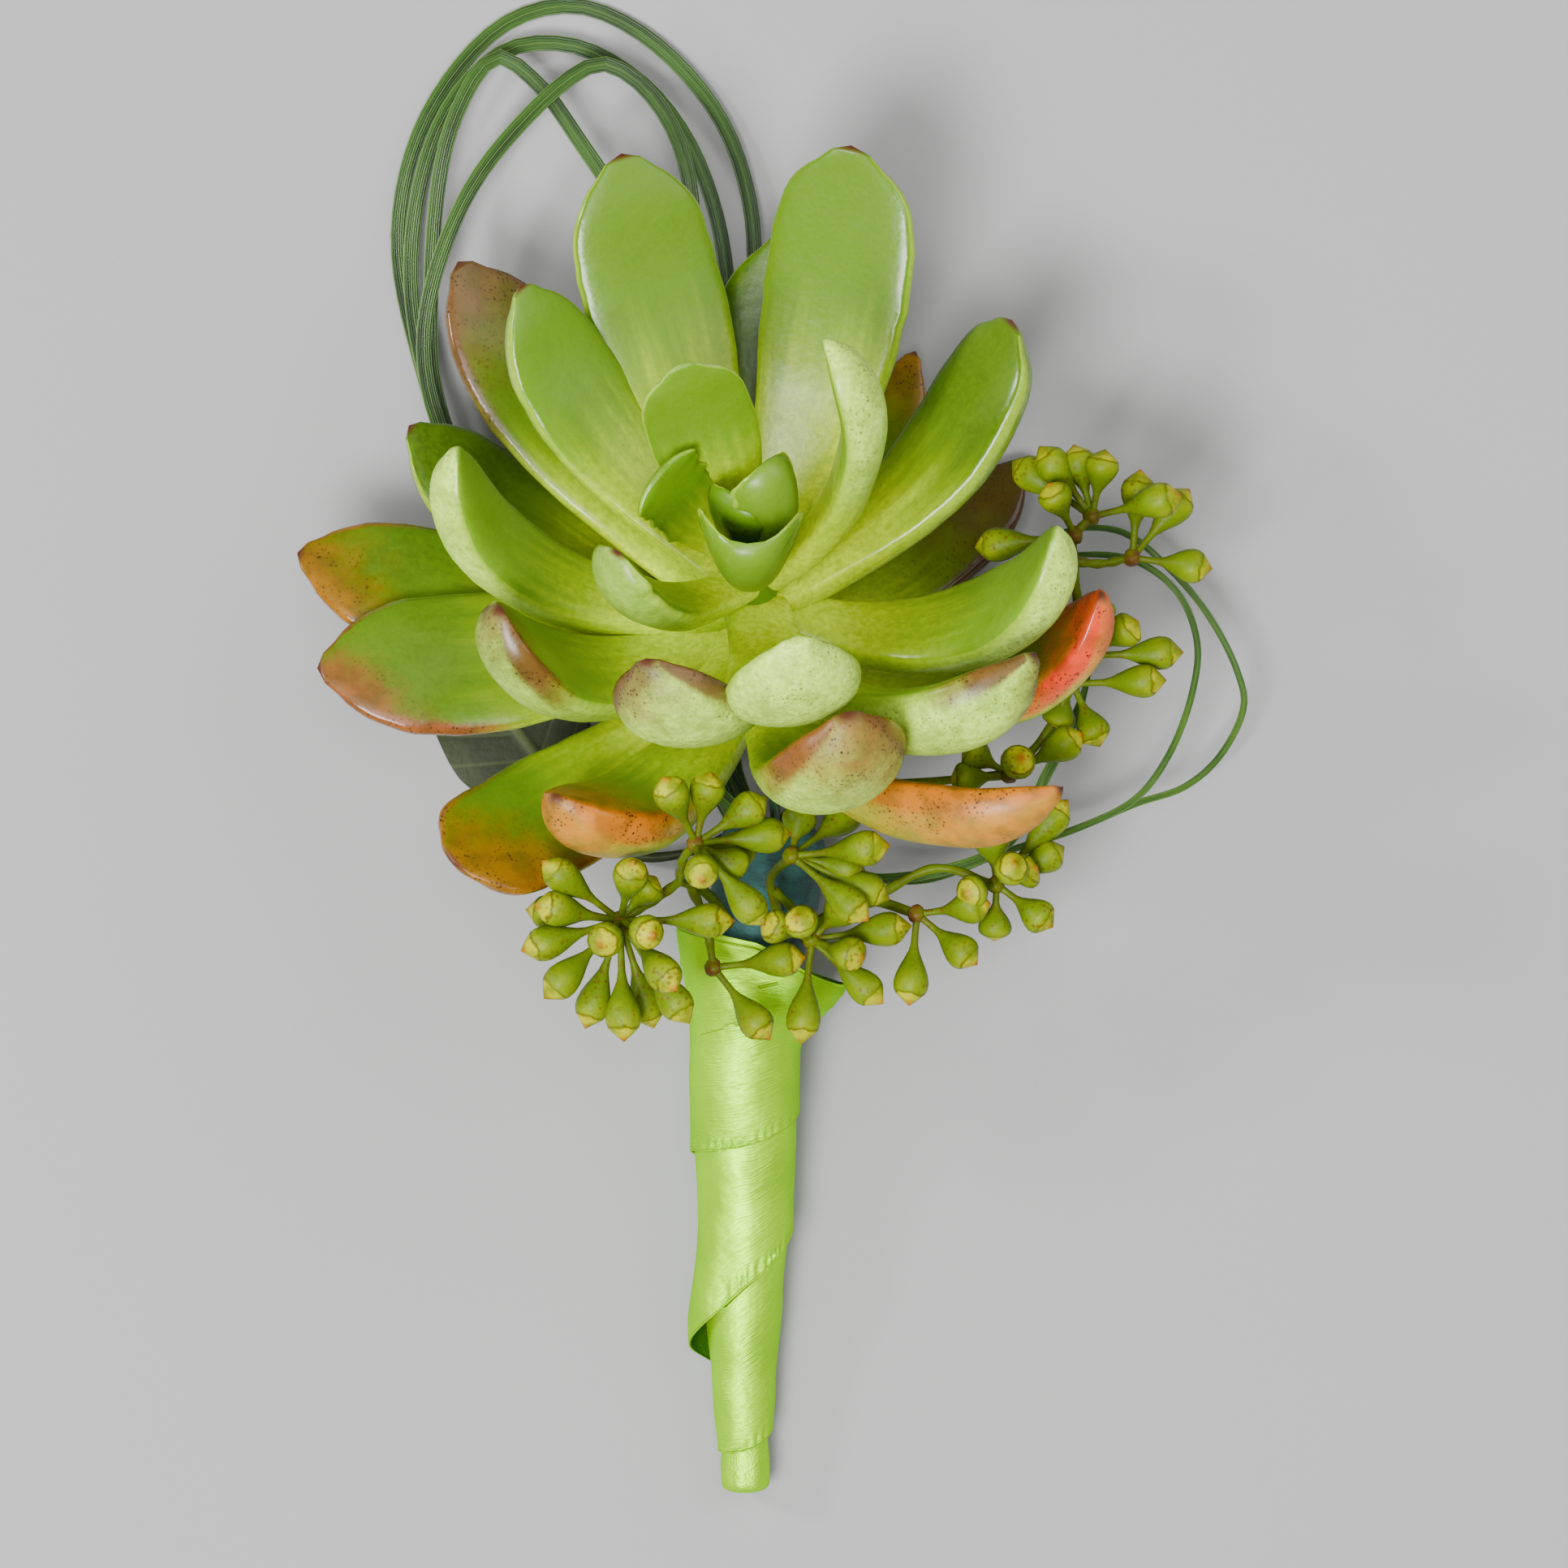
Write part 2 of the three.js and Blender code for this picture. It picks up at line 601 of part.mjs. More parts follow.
// ---------------------------------------------------------------- grasses
// A blade along a route: full for most of its length, and drawn in at its ends.
function blade({ width, depth }, points, stations, ends = [1, 1], range = [0, 1]) {
  const taper = profile([[0, ends[0]], [0.12, 1], [0.85, 1], [1, ends[1]]]);
  const halfWidth = (t) => (width / 2) * taper(t);
  const halfDepth = (t) => (depth / 2) * Math.max(0.75, taper(t));
  return sweptAlong(routeThrough(points), 4, stations, oval(halfWidth, halfDepth), range);
}

// Each lily-grass loop is one long blade, doubled over with both its ends bound in together:
// the way up on the left, then the way down behind the rosette.
const LILY_LOOPS = {
  lily_grass_loop_1: {
    bound: 236,
    rise: [
      [-6, 0, 4.2],
      [-18, 12, 2.6],
      [-30, 24, 2.4],
      [-35.7, 39.1, 2.2],
      [-38, 52.2, 1.8],
      [-35.1, 64, 1.2],
      [-27.5, 73.2, 0.6],
      [-20.2, 75.2, 0.45],
    ],
    fall: [
      [-12.9, 72, 0.8],
      [-5.8, 64.3, 1.3],
      [-2.6, 55.8, 1.8],
      [-2, 45, 2.2],
      [-3, 25, 2.4],
      [-4, 8, 3],
      [-4, -2, 4.4],
    ],
  },
  lily_grass_loop_2: {
    bound: 200,
    rise: [
      [-7.5, 1, 6],
      [-17, 12, 4.4],
      [-28, 24, 3.8],
      [-34.6, 36, 3.7],
      [-36.6, 50.1, 3.6],
      [-33.3, 63.9, 2.8],
      [-27, 70.6, 2.2],
      [-20.1, 71, 2],
    ],
    fall: [
      [-13.6, 67.4, 2.4],
      [-9, 61.8, 2.9],
      [-5.8, 53.6, 3.4],
      [-4.4, 42, 3.8],
      [-5, 25, 4],
      [-6, 8, 4.6],
      [-5.4, -2, 6.2],
    ],
  },
  lily_grass_loop_3: {
    bound: 164,
    rise: [
      [-8.5, 1, 7.6],
      [-17, 11, 6],
      [-27, 22, 5.3],
      [-33.6, 34, 5.1],
      [-34.5, 48, 5],
      [-32.4, 63, 4.6],
      [-28, 69.7, 4.2],
    ],
    fall: [
      [-24, 67.2, 4.3],
      [-19.5, 61.1, 4.6],
      [-15, 54, 5],
      [-10, 42, 5.4],
      [-7.5, 25, 5.6],
      [-7.6, 8, 6.4],
      [-6.6, -2, 8],
    ],
  },
  lily_grass_loop_4: {
    bound: 128,
    rise: [
      [-8, -2, 11],
      [-14, 6, 9],
      [-24, 19, 7],
      [-33, 31, 6.6],
      [-35.2, 40.9, 6.6],
      [-32.6, 52, 6.4],
      [-27.6, 60.5, 6],
      [-17.9, 68.9, 5.4],
    ],
    fall: [
      [-14.2, 67.5, 5.5],
      [-10.4, 62.8, 5.8],
      [-8.4, 56, 6.2],
      [-8.6, 42, 6.9],
      [-9.6, 25, 7.2],
      [-9, 8, 8.4],
      [-6.4, -3, 11],
    ],
  },
};

function lilyLoop({ bound, rise, fall }) {
  const up = [...boundBlade(bound, AT_TOP), ...rise];
  const down = [rise[rise.length - 2], rise[rise.length - 1], ...fall];
  down.push(...boundBlade(bound + 7, AT_TOP).reverse());
  const { width, depth } = LILY_BLADE;
  const wide = { width: width + 3 * CLEARANCE, depth: depth + 3 * CLEARANCE };
  const bladeUp = blade(LILY_BLADE, up, 24, [1, 1], [0.004, 1]);
  const bladeDown = blade(LILY_BLADE, down, 24, [0.96, 1], [0.07, 0.994]);
  const socket = joined([blade(wide, up, 24), blade(wide, down, 24)]);
  return { solid: joined([bladeUp, bladeDown]), socket };
}

// Bear grass: finer blades that curl out on the right and tuck their tips in behind a leaf.
const BEAR_BLADES = {
  bear_grass_blade_1: {
    bound: -14,
    section: BEAR_BLADE,
    route: [
      [8, -12.6, 8.2],
      [15.1, -12.7, 8],
      [23.2, -10.2, 8],
      [30.6, -7.8, 8],
      [36.2, -4.9, 8.5],
      [39.5, -0.5, 9],
      [41.9, 6, 9],
      [42.3, 10.9, 9],
      [40.3, 15.8, 9],
      [35.8, 19, 9],
      [28.5, 19.3, 9],
      [23, 17.4, 9.4],
    ],
  },
  bear_grass_blade_2: {
    bound: -50,
    section: BEAR_BLADE,
    route: [
      [8, -12.8, 6],
      [15.1, -13.1, 6.4],
      [23.3, -10.2, 6.4],
      [30.6, -7.8, 6.5],
      [36.3, -5.4, 6.9],
      [41.2, -3.7, 7],
      [44.8, -0.5, 7],
      [47.1, 4.4, 7],
      [46.5, 7.7, 7],
      [43.6, 13.4, 7],
      [39.5, 18.3, 7],
      [34.7, 21.9, 7],
      [29, 21.9, 7],
      [23, 19, 7.4],
    ],
  },
  bear_grass_blade_3: {
    bound: 22,
    section: { width: 1.1, depth: 0.7 },
    route: [
      [8, -13, 10],
      [15.9, -12.3, 9.8],
      [23.2, -9.4, 10],
      [27.2, -2.5, 11],
      [30.4, 4.2, 12.4],
      [31.6, 8.6, 13.4],
    ],
  },
};

function bearBlade({ bound, section, route }) {
  const points = [...boundBlade(bound, AT_SIDE), ...route];
  const wide = { width: section.width + 4 * CLEARANCE, depth: section.depth + 4 * CLEARANCE };
  return {
    solid: solidOf(blade(section, points, 26, [1, 0.5], [0.004, 1])),
    socket: solidOf(blade(wide, points, 26)),
  };
}

// ---------------------------------------------------------------- backing leaf
const BACKING_LEAF = {
  bound: 272,
  stalk: [[-2.4, -8.2, 4.4], [-8, -10.2, 2.2], [-13.6, -10.8, 1], [-17.2, -9.2, 0.6], [-20, -5.8, 0.5]],
  blade: [[-17.2, -9.2, 0.3], [-21.2, -4.4, 0.3], [-28, 4.4, 0.3], [-36.6, 15.4, 0.3]],
  width: 15,
};

function backingLeaf() {
  const { bound, stalk, blade: midrib, width } = BACKING_LEAF;
  const outline = profile([[0, 0.09], [0.45, 1], [0.75, 0.78], [1, 0.05]]);
  // The underside is flat, where the leaf lies on the surface, and the midrib stands up a little.
  const section = (angle, t) => {
    const rise = Math.sin(angle);
    const lift = rise < 0 ? Math.max(-0.3, 3 * rise) : 0.4 * rise + 0.4 * Math.max(0, rise - 0.8);
    return [-Math.cos(angle) * (width / 2) * outline(t), lift];
  };
  const points = [...boundBlade(bound, AT_SIDE), ...stalk];
  return {
    solid: joined([
      sweptAlong(routeThrough(midrib), 8, 10, section),
      stem(points, 0.6, 14, [0.01, 1]),
    ]),
    socket: solidOf(stem(points, 0.6 + CLEARANCE, 14)),
  };
}

// ---------------------------------------------------------------- wire
// The florist's wire that holds the rosette: up through the bound stems and into its own stem.
const WIRE_IN_STEM = 7;

function floristWire() {
  const into = (distance) => ROSETTE_TIP.clone().addScaledVector(ROSETTE_AXIS, -distance);
  const points = [
    ...[0.1, 0.3, 0.5, 0.7, 0.85].map((share) => besideHandle(share, 0, 0)),
    vec(0.1, -7, 9.4),
    vec(-0.9, -0.6, 8.2),
    into(ROSETTE_STEM_LENGTH + 3.2),
    into(ROSETTE_STEM_LENGTH - 1),
    into(ROSETTE_STEM_LENGTH - WIRE_IN_STEM),
  ];
  return {
    solid: solidOf(stem(points, WIRE_RADIUS, 24, [0.006, 0.994])),
    socket: solidOf(stem(points, WIRE_RADIUS + CLEARANCE, 24)),
  };
}

// ---------------------------------------------------------------- assembly
// The middle of the footprint, which becomes the origin.
const FOOTPRINT = vec(0.46, 0.45, 0);

const boutonniere = new THREE.Group();
function addPiece(name, solid, color, roughness) {
  const material = new THREE.MeshStandardMaterial({ color, roughness, metalness: 0 });
  const placed = geometryOf(solid).translate(-FOOTPRINT.x, -FOOTPRINT.y, -FOOTPRINT.z);
  const mesh = new THREE.Mesh(placed, material);
  mesh.name = name;
  boutonniere.add(mesh);
}

const wire = floristWire();
const leaf = backingLeaf();
const sprays = Object.entries(SPRAYS).map(([name, shape]) => [name, spray(shape)]);
const loops = Object.entries(LILY_LOOPS).map(([name, shape]) => [name, lilyLoop(shape)]);
const blades = Object.entries(BEAR_BLADES).map(([name, shape]) => [name, bearBlade(shape)]);

const rosette = joined([rosetteStem(), ...ROSETTE_LEAVES.map(succulentLeaf)]);
const sockets = [...sprays, ...loops, ...blades].map(([, piece]) => piece.socket);
const bundle = solidOf(tapedBundle()).subtract(
  wasm.Manifold.union([wire.socket, leaf.socket, ...sockets]),
);

addPiece("succulent_rosette", rosette.subtract(wire.socket), "#9cbd4a", 0.4);
for (const [name, piece] of sprays) addPiece(name, piece.solid, "#8a9a22", 0.5);
for (const [name, piece] of loops) addPiece(name, piece.solid, "#3f7a33", 0.45);
for (const [name, piece] of blades) addPiece(name, piece.solid, "#4f8a3a", 0.45);
addPiece("backing_leaf", leaf.solid, "#47503f", 0.55);
addPiece("florist_wire", wire.solid, "#3b5a3c", 0.5);
addPiece("floral_tape", bundle, "#2f5a55", 0.7);
addPiece("satin_ribbon", woundRibbon(), "#b4e05c", 0.35);

export default boutonniere;
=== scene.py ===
import math
from bisect import bisect_right

import bmesh
import bpy
from bpy.props import FloatProperty, FloatVectorProperty, PointerProperty
from mathutils import Matrix, Quaternion, Vector, noise


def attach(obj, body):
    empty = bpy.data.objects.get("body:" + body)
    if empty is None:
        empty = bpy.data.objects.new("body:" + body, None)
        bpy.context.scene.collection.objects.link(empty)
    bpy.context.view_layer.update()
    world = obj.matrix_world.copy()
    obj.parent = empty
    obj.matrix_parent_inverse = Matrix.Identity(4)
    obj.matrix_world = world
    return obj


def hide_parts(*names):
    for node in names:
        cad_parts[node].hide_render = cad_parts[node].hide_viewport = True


bl_info = {
    "name": "Succulent Boutonniere",
    "version": (1, 0, 0),
    "blender": (4, 5, 0),
    "location": "View3D > Sidebar > Boutonniere",
    "description": "Models a succulent boutonniere, piece by piece, on its packed frame",
    "category": "Object",
}

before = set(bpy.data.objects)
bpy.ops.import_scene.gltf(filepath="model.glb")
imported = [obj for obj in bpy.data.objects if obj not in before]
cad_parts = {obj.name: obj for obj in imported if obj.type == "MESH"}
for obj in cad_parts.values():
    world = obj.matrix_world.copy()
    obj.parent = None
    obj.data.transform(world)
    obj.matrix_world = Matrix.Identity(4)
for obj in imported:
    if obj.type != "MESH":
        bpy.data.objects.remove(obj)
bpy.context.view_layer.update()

MM = 0.001
UP = Vector((0, 0, 1))
FOOTPRINT = Vector((0.46, 0.45, 0))  # the middle of the footprint, in the drawing's place
CLEARANCE = 0.3  # between two pieces that lie against each other
BODY = "root"
SMOOTH_UNDER = math.radians(50)  # a sharper crease stays an edge


# ---------------------------------------------------------------- numbers and lines
def lerp(start, end, t):
    return start + (end - start) * t


def smooth(value, start, end):
    """0 before start, 1 after end, and an even curve between them."""
    t = min(1, max(0, (value - start) / (end - start)))
    return t * t * (3 - 2 * t)


def bump(value, middle, reach):
    """1 at the middle, and 0 a reach away from it."""
    return smooth(abs(value - middle), reach, 0)


def profile(stops):
    """Values at stops along a body, blended smoothly between them."""

    def at(t):
        if t <= stops[0][0]:
            return stops[0][1]
        for (start, before), (end, after) in zip(stops, stops[1:]):
            if t <= end:
                return lerp(before, after, smooth(t, start, end))
        return stops[-1][1]

    return at


def curve_point(stops, position):
    """The point that many stops along a centripetal curve through them."""
    index = min(int(position), len(stops) - 2)
    t = position - index
    here, after = stops[index], stops[index + 1]
    before = stops[index - 1] if index > 0 else here * 2 - after
    beyond = stops[index + 2] if index + 2 < len(stops) else after * 2 - here
    step = math.sqrt((after - here).length)
    step_in = math.sqrt((here - before).length)
    step_out = math.sqrt((beyond - after).length)
    leave = (here - before) / step_in - (after - before) / (step_in + step)
    arrive = (beyond - after) / step_out - (beyond - here) / (step + step_out)
    leave = leave * step + after - here
    arrive = arrive * step + after - here
    square, cube = t * t, t * t * t
    return (
        here * (2 * cube - 3 * square + 1)
        + leave * (cube - 2 * square + t)
        + after * (3 * square - 2 * cube)
        + arrive * (cube - square)
    )


class Route:
    """A smooth line through given points, measured by its length."""

    PIECES = 24  # straight pieces between two points
    NEARBY = 0.004  # share of the line, ahead and back, that gives its direction

    def __init__(self, points):
        stops = [Vector(point) for point in points]
        count = (len(stops) - 1) * self.PIECES
        self.dots = [curve_point(stops, i / self.PIECES) for i in range(count + 1)]
        self.reached = [0.0]
        for before, after in zip(self.dots, self.dots[1:]):
            self.reached.append(self.reached[-1] + (after - before).length)
        self.length = self.reached[-1]
        self.known = {}

    def at(self, share):
        distance = share * self.length
        index = min(max(bisect_right(self.reached, distance) - 1, 0), len(self.dots) - 2)
        span = self.reached[index + 1] - self.reached[index]
        return self.dots[index].lerp(self.dots[index + 1], (distance - self.reached[index]) / span)

    def frame(self, share):
        """The point there, and the directions across the line to the right and up."""
        key = round(share, 6)
        if key not in self.known:
            ahead, behind = min(1, share + self.NEARBY), max(0, share - self.NEARBY)
            along = (self.at(ahead) - self.at(behind)).normalized()
            across = along.cross(UP).normalized()
            self.known[key] = (self.at(share), across, across.cross(along))
        return self.known[key]


# ---------------------------------------------------------------- modelling
def deselect():
    bpy.ops.object.select_all(action="DESELECT")


def named(piece, name):
    piece.name = piece.data.name = name
    return piece


def newest(name):
    """The object that was just added, under its name."""
    return named(bpy.context.object, name)


def only(piece):
    deselect()
    piece.select_set(True)
    bpy.context.view_layer.objects.active = piece


def edit(piece, chosen=None):
    """Go into edit mode with only the chosen edges selected, or with nothing selected."""
    only(piece)
    bpy.ops.object.mode_set(mode="EDIT")
    bpy.ops.mesh.select_mode(type="EDGE")
    bpy.ops.mesh.select_all(action="DESELECT")
    if chosen:
        shape = bmesh.from_edit_mesh(piece.data)
        for edge in shape.edges:
            edge.select_set(chosen(*(vertex.co for vertex in edge.verts)))
        bmesh.update_edit_mesh(piece.data)


def straight_tube(sides, cuts):
    """A closed straight blank of unit radius, cut into even lengths."""
    deselect()
    bpy.ops.mesh.primitive_cylinder_add(
        vertices=sides, radius=1, depth=1, location=(0, 0.5, 0), rotation=(-math.pi / 2, 0, 0)
    )
    tube = newest("blank")
    bpy.ops.object.transform_apply(location=True, rotation=True, scale=True)
    edit(tube, lambda start, end: abs(start.y - end.y) > 0.5)
    bpy.ops.mesh.subdivide(number_cuts=cuts)
    bpy.ops.object.mode_set(mode="OBJECT")
    return tube


def copy_of(blank, name="copy"):
    piece = bpy.data.objects.new(name, blank.data.copy())
    bpy.context.collection.objects.link(piece)
    return piece


def thrown_away(*blanks):
    for blank in blanks:
        bpy.data.objects.remove(blank)


def finished(piece, kind, **settings):
    """Finish a piece with a modifier, applied."""
    only(piece)
    modifier = piece.modifiers.new(kind.title(), kind)
    for key, value in settings.items():
        setattr(modifier, key, value)
    bpy.ops.object.modifier_apply(modifier=modifier.name)


def joined(pieces, name):
    deselect()
    for piece in pieces:
        piece.select_set(True)
    bpy.context.view_layer.objects.active = pieces[0]
    bpy.ops.object.join()
    return newest(name)


def lay_along(piece, route, section, start=0, end=1):
    """Bend a straight blank on to a route. section(side, rise, t) gives a point's place across
    and above the line."""
    for vertex in piece.data.vertices:
        side, t, rise = vertex.co
        middle, across, up = route.frame(lerp(start, end, t))
        out, lift = section(side, rise, t)
        vertex.co = middle + across * out + up * lift
    return piece


def round_section(radius_at):
    """A round section for lay_along, of the radius that radius_at(t) gives."""

    def section(side, rise, t):
        radius = radius_at(t)
        return side * radius, rise * radius

    return section


def mark(piece, name, kind, value):
    """Keep a value on every vertex for the materials: value(vertex), or one value for all."""
    field = {"FLOAT": "value", "FLOAT_VECTOR": "vector", "FLOAT_COLOR": "color"}[kind]
    attribute = piece.data.attributes.new(name, kind, "POINT")
    for vertex, item in zip(piece.data.vertices, attribute.data):
        setattr(item, field, value(vertex) if callable(value) else value)
    return piece


def mark_grown(piece):
    """Keep how far along, to which side and how high each vertex of a straight blank is."""
    return mark(piece, "grown", "FLOAT_VECTOR", lambda v: (v.co.y, v.co.x, v.co.z))


def set_down(piece, nodes, material):
    """Place a finished piece on the frame, in metres, and hide the model's parts that it stands
    for.
    """
    piece.data.transform(Matrix.Scale(MM, 4) @ Matrix.Translation(-FOOTPRINT))
    only(piece)
    bpy.ops.object.shade_smooth_by_angle(angle=SMOOTH_UNDER)
    piece.data.materials.clear()
    piece.data.materials.append(material)
    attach(piece, BODY)
    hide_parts(*nodes)


# ---------------------------------------------------------------- materials
CROWD = 9  # how many times as wide as one speck a crowd of specks is


class Field:
    """A value or a colour that changes over a surface."""

    def __init__(self, socket):
        self.socket = socket
        self.tree = socket.id_data

    def __add__(self, other):
        return calc("ADD", self, other)

    def __sub__(self, other):
        return calc("SUBTRACT", self, other)

    def __rsub__(self, other):
        return calc("SUBTRACT", other, self)

    def __mul__(self, other):
        return calc("MULTIPLY", self, other)

    def __abs__(self):
        return calc("ABSOLUTE", self)

    def step(self, low, high, start=0, end=1):
        """A smooth step: start at low, end at high."""
        inputs = {"Value": self, "From Min": low, "From Max": high, "To Min": start, "To Max": end}
        made = add(self.tree, "MapRange", inputs, interpolation_type="SMOOTHSTEP")
        return Field(made.outputs[0])


def tree_of(*values):
    return next(value.tree for value in values if isinstance(value, Field))


def fill(node, inputs):
    """Give a node its inputs: numbers, colours, or fields."""
    for key, value in inputs.items():
        socket = node.inputs[key]
        if isinstance(value, Field):
            value.tree.links.new(value.socket, socket)
        else:
            socket.default_value = (*value, 1) if socket.type == "RGBA" else value


def add(tree, kind, inputs=None, **settings):
    made = tree.nodes.new("ShaderNode" + kind)
    for key, value in settings.items():
        setattr(made, key, value)
    fill(made, inputs or {})
    return made


def calc(operation, *values):
    inputs = dict(enumerate(values))
    return Field(add(tree_of(*values), "Math", inputs, operation=operation).outputs[0])


def mixed(share, first, second):
    """A colour between two others."""
    inputs = {0: share, 6: first, 7: second}
    return Field(add(tree_of(share, first), "Mix", inputs, data_type="RGBA").outputs[2])


def vector(*parts):
    return Field(add(tree_of(*parts), "CombineXYZ", dict(enumerate(parts))).outputs[0])


def split(field):
    return [Field(part) for part in add(field.tree, "SeparateXYZ", {0: field}).outputs]


def cloud(tree, scale, detail=3, place=None, roughness=0.5):
    """Soft noise on the object's own coordinates, or at a place that is given."""
    place = place or Field(add(tree, "TexCoord").outputs["Object"])
    inputs = {"Vector": place, "Scale": scale, "Detail": detail, "Roughness": roughness}
    return Field(add(tree, "TexNoise", inputs).outputs[0])


def kept(tree, name, kind="Fac"):
    """What was kept on the vertices under a name."""
    return Field(add(tree, "Attribute", attribute_name=name).outputs[kind])


def grown(tree):
    """How far along, to which side and how high each point of a straight blank was."""
    return split(kept(tree, "grown", "Vector"))


def relief(height, depth):
    """A bumped surface, from a field of heights and its depth in metres."""
    return Field(add(height.tree, "Bump", {"Height": height, "Distance": depth}).outputs[0])


def shader_group(name, inputs, output, make):
    """A shared effect with named inputs and one output: make(tree, *inputs) gives its field."""
    tree = bpy.data.node_groups.new(name, "ShaderNodeTree")
    for title, kind, value in inputs:
        socket = tree.interface.new_socket(
            name=title, in_out="INPUT", socket_type="NodeSocket" + kind
        )
        socket.default_value = value
    title, kind = output
    tree.interface.new_socket(name=title, in_out="OUTPUT", socket_type="NodeSocket" + kind)
    given = [Field(socket) for socket in tree.nodes.new("NodeGroupInput").outputs[:len(inputs)]]
    out = tree.nodes.new("NodeGroupOutput").inputs[0]
    tree.links.new(make(tree, *given).socket, out)


def mottle_group():
    """Uneven colour, as in living tissue and dyed cloth: patches of a second colour."""

    def make(tree, color, patches, scale, amount):
        return mixed(cloud(tree, scale, 4).step(0.38, 0.66) * amount, color, patches)

    shader_group(
        "Mottle",
        [
            ("Color", "Color", (0.5, 0.5, 0.5, 1)),
            ("Patches", "Color", (0.3, 0.3, 0.3, 1)),
            ("Scale", "Float", 200),
            ("Amount", "Float", 0.5),
        ],
        ("Color", "Color"),
        make,
    )


def freckle_group():
    """Fine scattered specks, as a mask: in crowds, and of uneven strength."""

    def make(tree, scale, size):
        place = Field(add(tree, "TexCoord").outputs["Object"])
        cells = add(tree, "TexVoronoi", {"Vector": place, "Scale": scale}).outputs
        speck = (size - Field(cells["Distance"])).step(0, 0.06) * Field(cells["Color"])
        return speck * cloud(tree, calc("DIVIDE", scale, CROWD), 2).step(0.38, 0.6)

    inputs = [("Scale", "Float", 1500), ("Size", "Float", 0.16)]
    shader_group("Freckles", inputs, ("Mask", "Float"), make)


def grouped(tree, name, **inputs):
    """Place a shared effect in a material with its own values."""
    made = tree.nodes.new("ShaderNodeGroup")
    made.node_tree = bpy.data.node_groups[name]
    fill(made, inputs)
    return Field(made.outputs[0])


def mottled(tree, color, patches, scale, amount):
    return grouped(tree, "Mottle", Color=color, Patches=patches, Scale=scale, Amount=amount)


def skin(name, fields, **surface):
    """A material: fields(tree) gives what changes over the surface, the rest is the same all
    over."""
    material = bpy.data.materials.new(name)
    material.use_nodes = True
    tree = material.node_tree
    inputs = {**surface, **fields(tree)}
    shader = tree.nodes["Principled BSDF"]
    fill(shader, {key.replace("_", " "): value for key, value in inputs.items()})
    return material


# ---------------------------------------------------------------- succulent rosette
LEAF_WIDEST = 0.68  # where the blade is widest, from root to tip
LEAF_ROOT_SHARE = 0.5  # width at the root, as a share of the widest
LEAF_ROOT_THICK = 0.75  # thickness at the root, as a share of the thickest
FACE_SHARE = 0.3  # of a leaf's thickness, above its midrib
RIPPLE = 0.035  # of the outline, as a share of the width
DENT = 0.35  # depth of the soft dents
TORN_IN, TORN_UP = 0.2, 0.5  # a ragged edge: share of the width, and height
POINT_LENGTH = 0.9  # of the small hard point at a leaf's tip
RING_GATHER = 1.35  # above 1, the rings of a leaf lie closer together towards its tip
STEM_TOP = 0.7  # width of the short stem at the growing tip, as a share of its root's
BLUSHES = {
    "none": (0.1, 0.28, 0.004),
    "wine": (0.05, 0.004, 0.003),
    "red": (0.72, 0.03, 0.01),
    "salmon": (0.5, 0.13, 0.001),
    "orange": (0.27, 0.1, 0.001),
    "rust": (0.24, 0.065, 0.016),
    "brown": (0.13, 0.05, 0.01),
    "brick": (0.19, 0.045, 0.01),
    "rose": (0.13, 0.05, 0.018),
}


LEAF_DEFAULTS = {
    "bend": 80, "roll": 0, "cup": 0.1, "fold": 0, "blunt": 0,
    "deep": 0, "powder": 0.22, "blush": "none", "reach": 0, "lean": 0, "ragged": 0,
}


def leaf(tip, back, width, thick, **own):
    """A fleshy leaf. tip is where its point lies, and back is how far behind the growing tip it
    leaves the stem. It bends along its midrib and rolls about it, in degrees; cup hollows its
    face, fold lifts its edges, and blunt rounds its end. Its look is the depth of its green and
    shade (1 is dark green towards the tip: the deeper green of older leaves, with painted shade
    on leaves that lie in shadow; -1 is dark green at the root, as in the heart, with painted
    shade in its hollow), powder, blush, reach (of the blush down from the tip), lean (of the
    blush to one side) and ragged (its edge)."""
    return {"tip": tip, "back": back, "width": width, "thick": thick, **LEAF_DEFAULTS, **own}


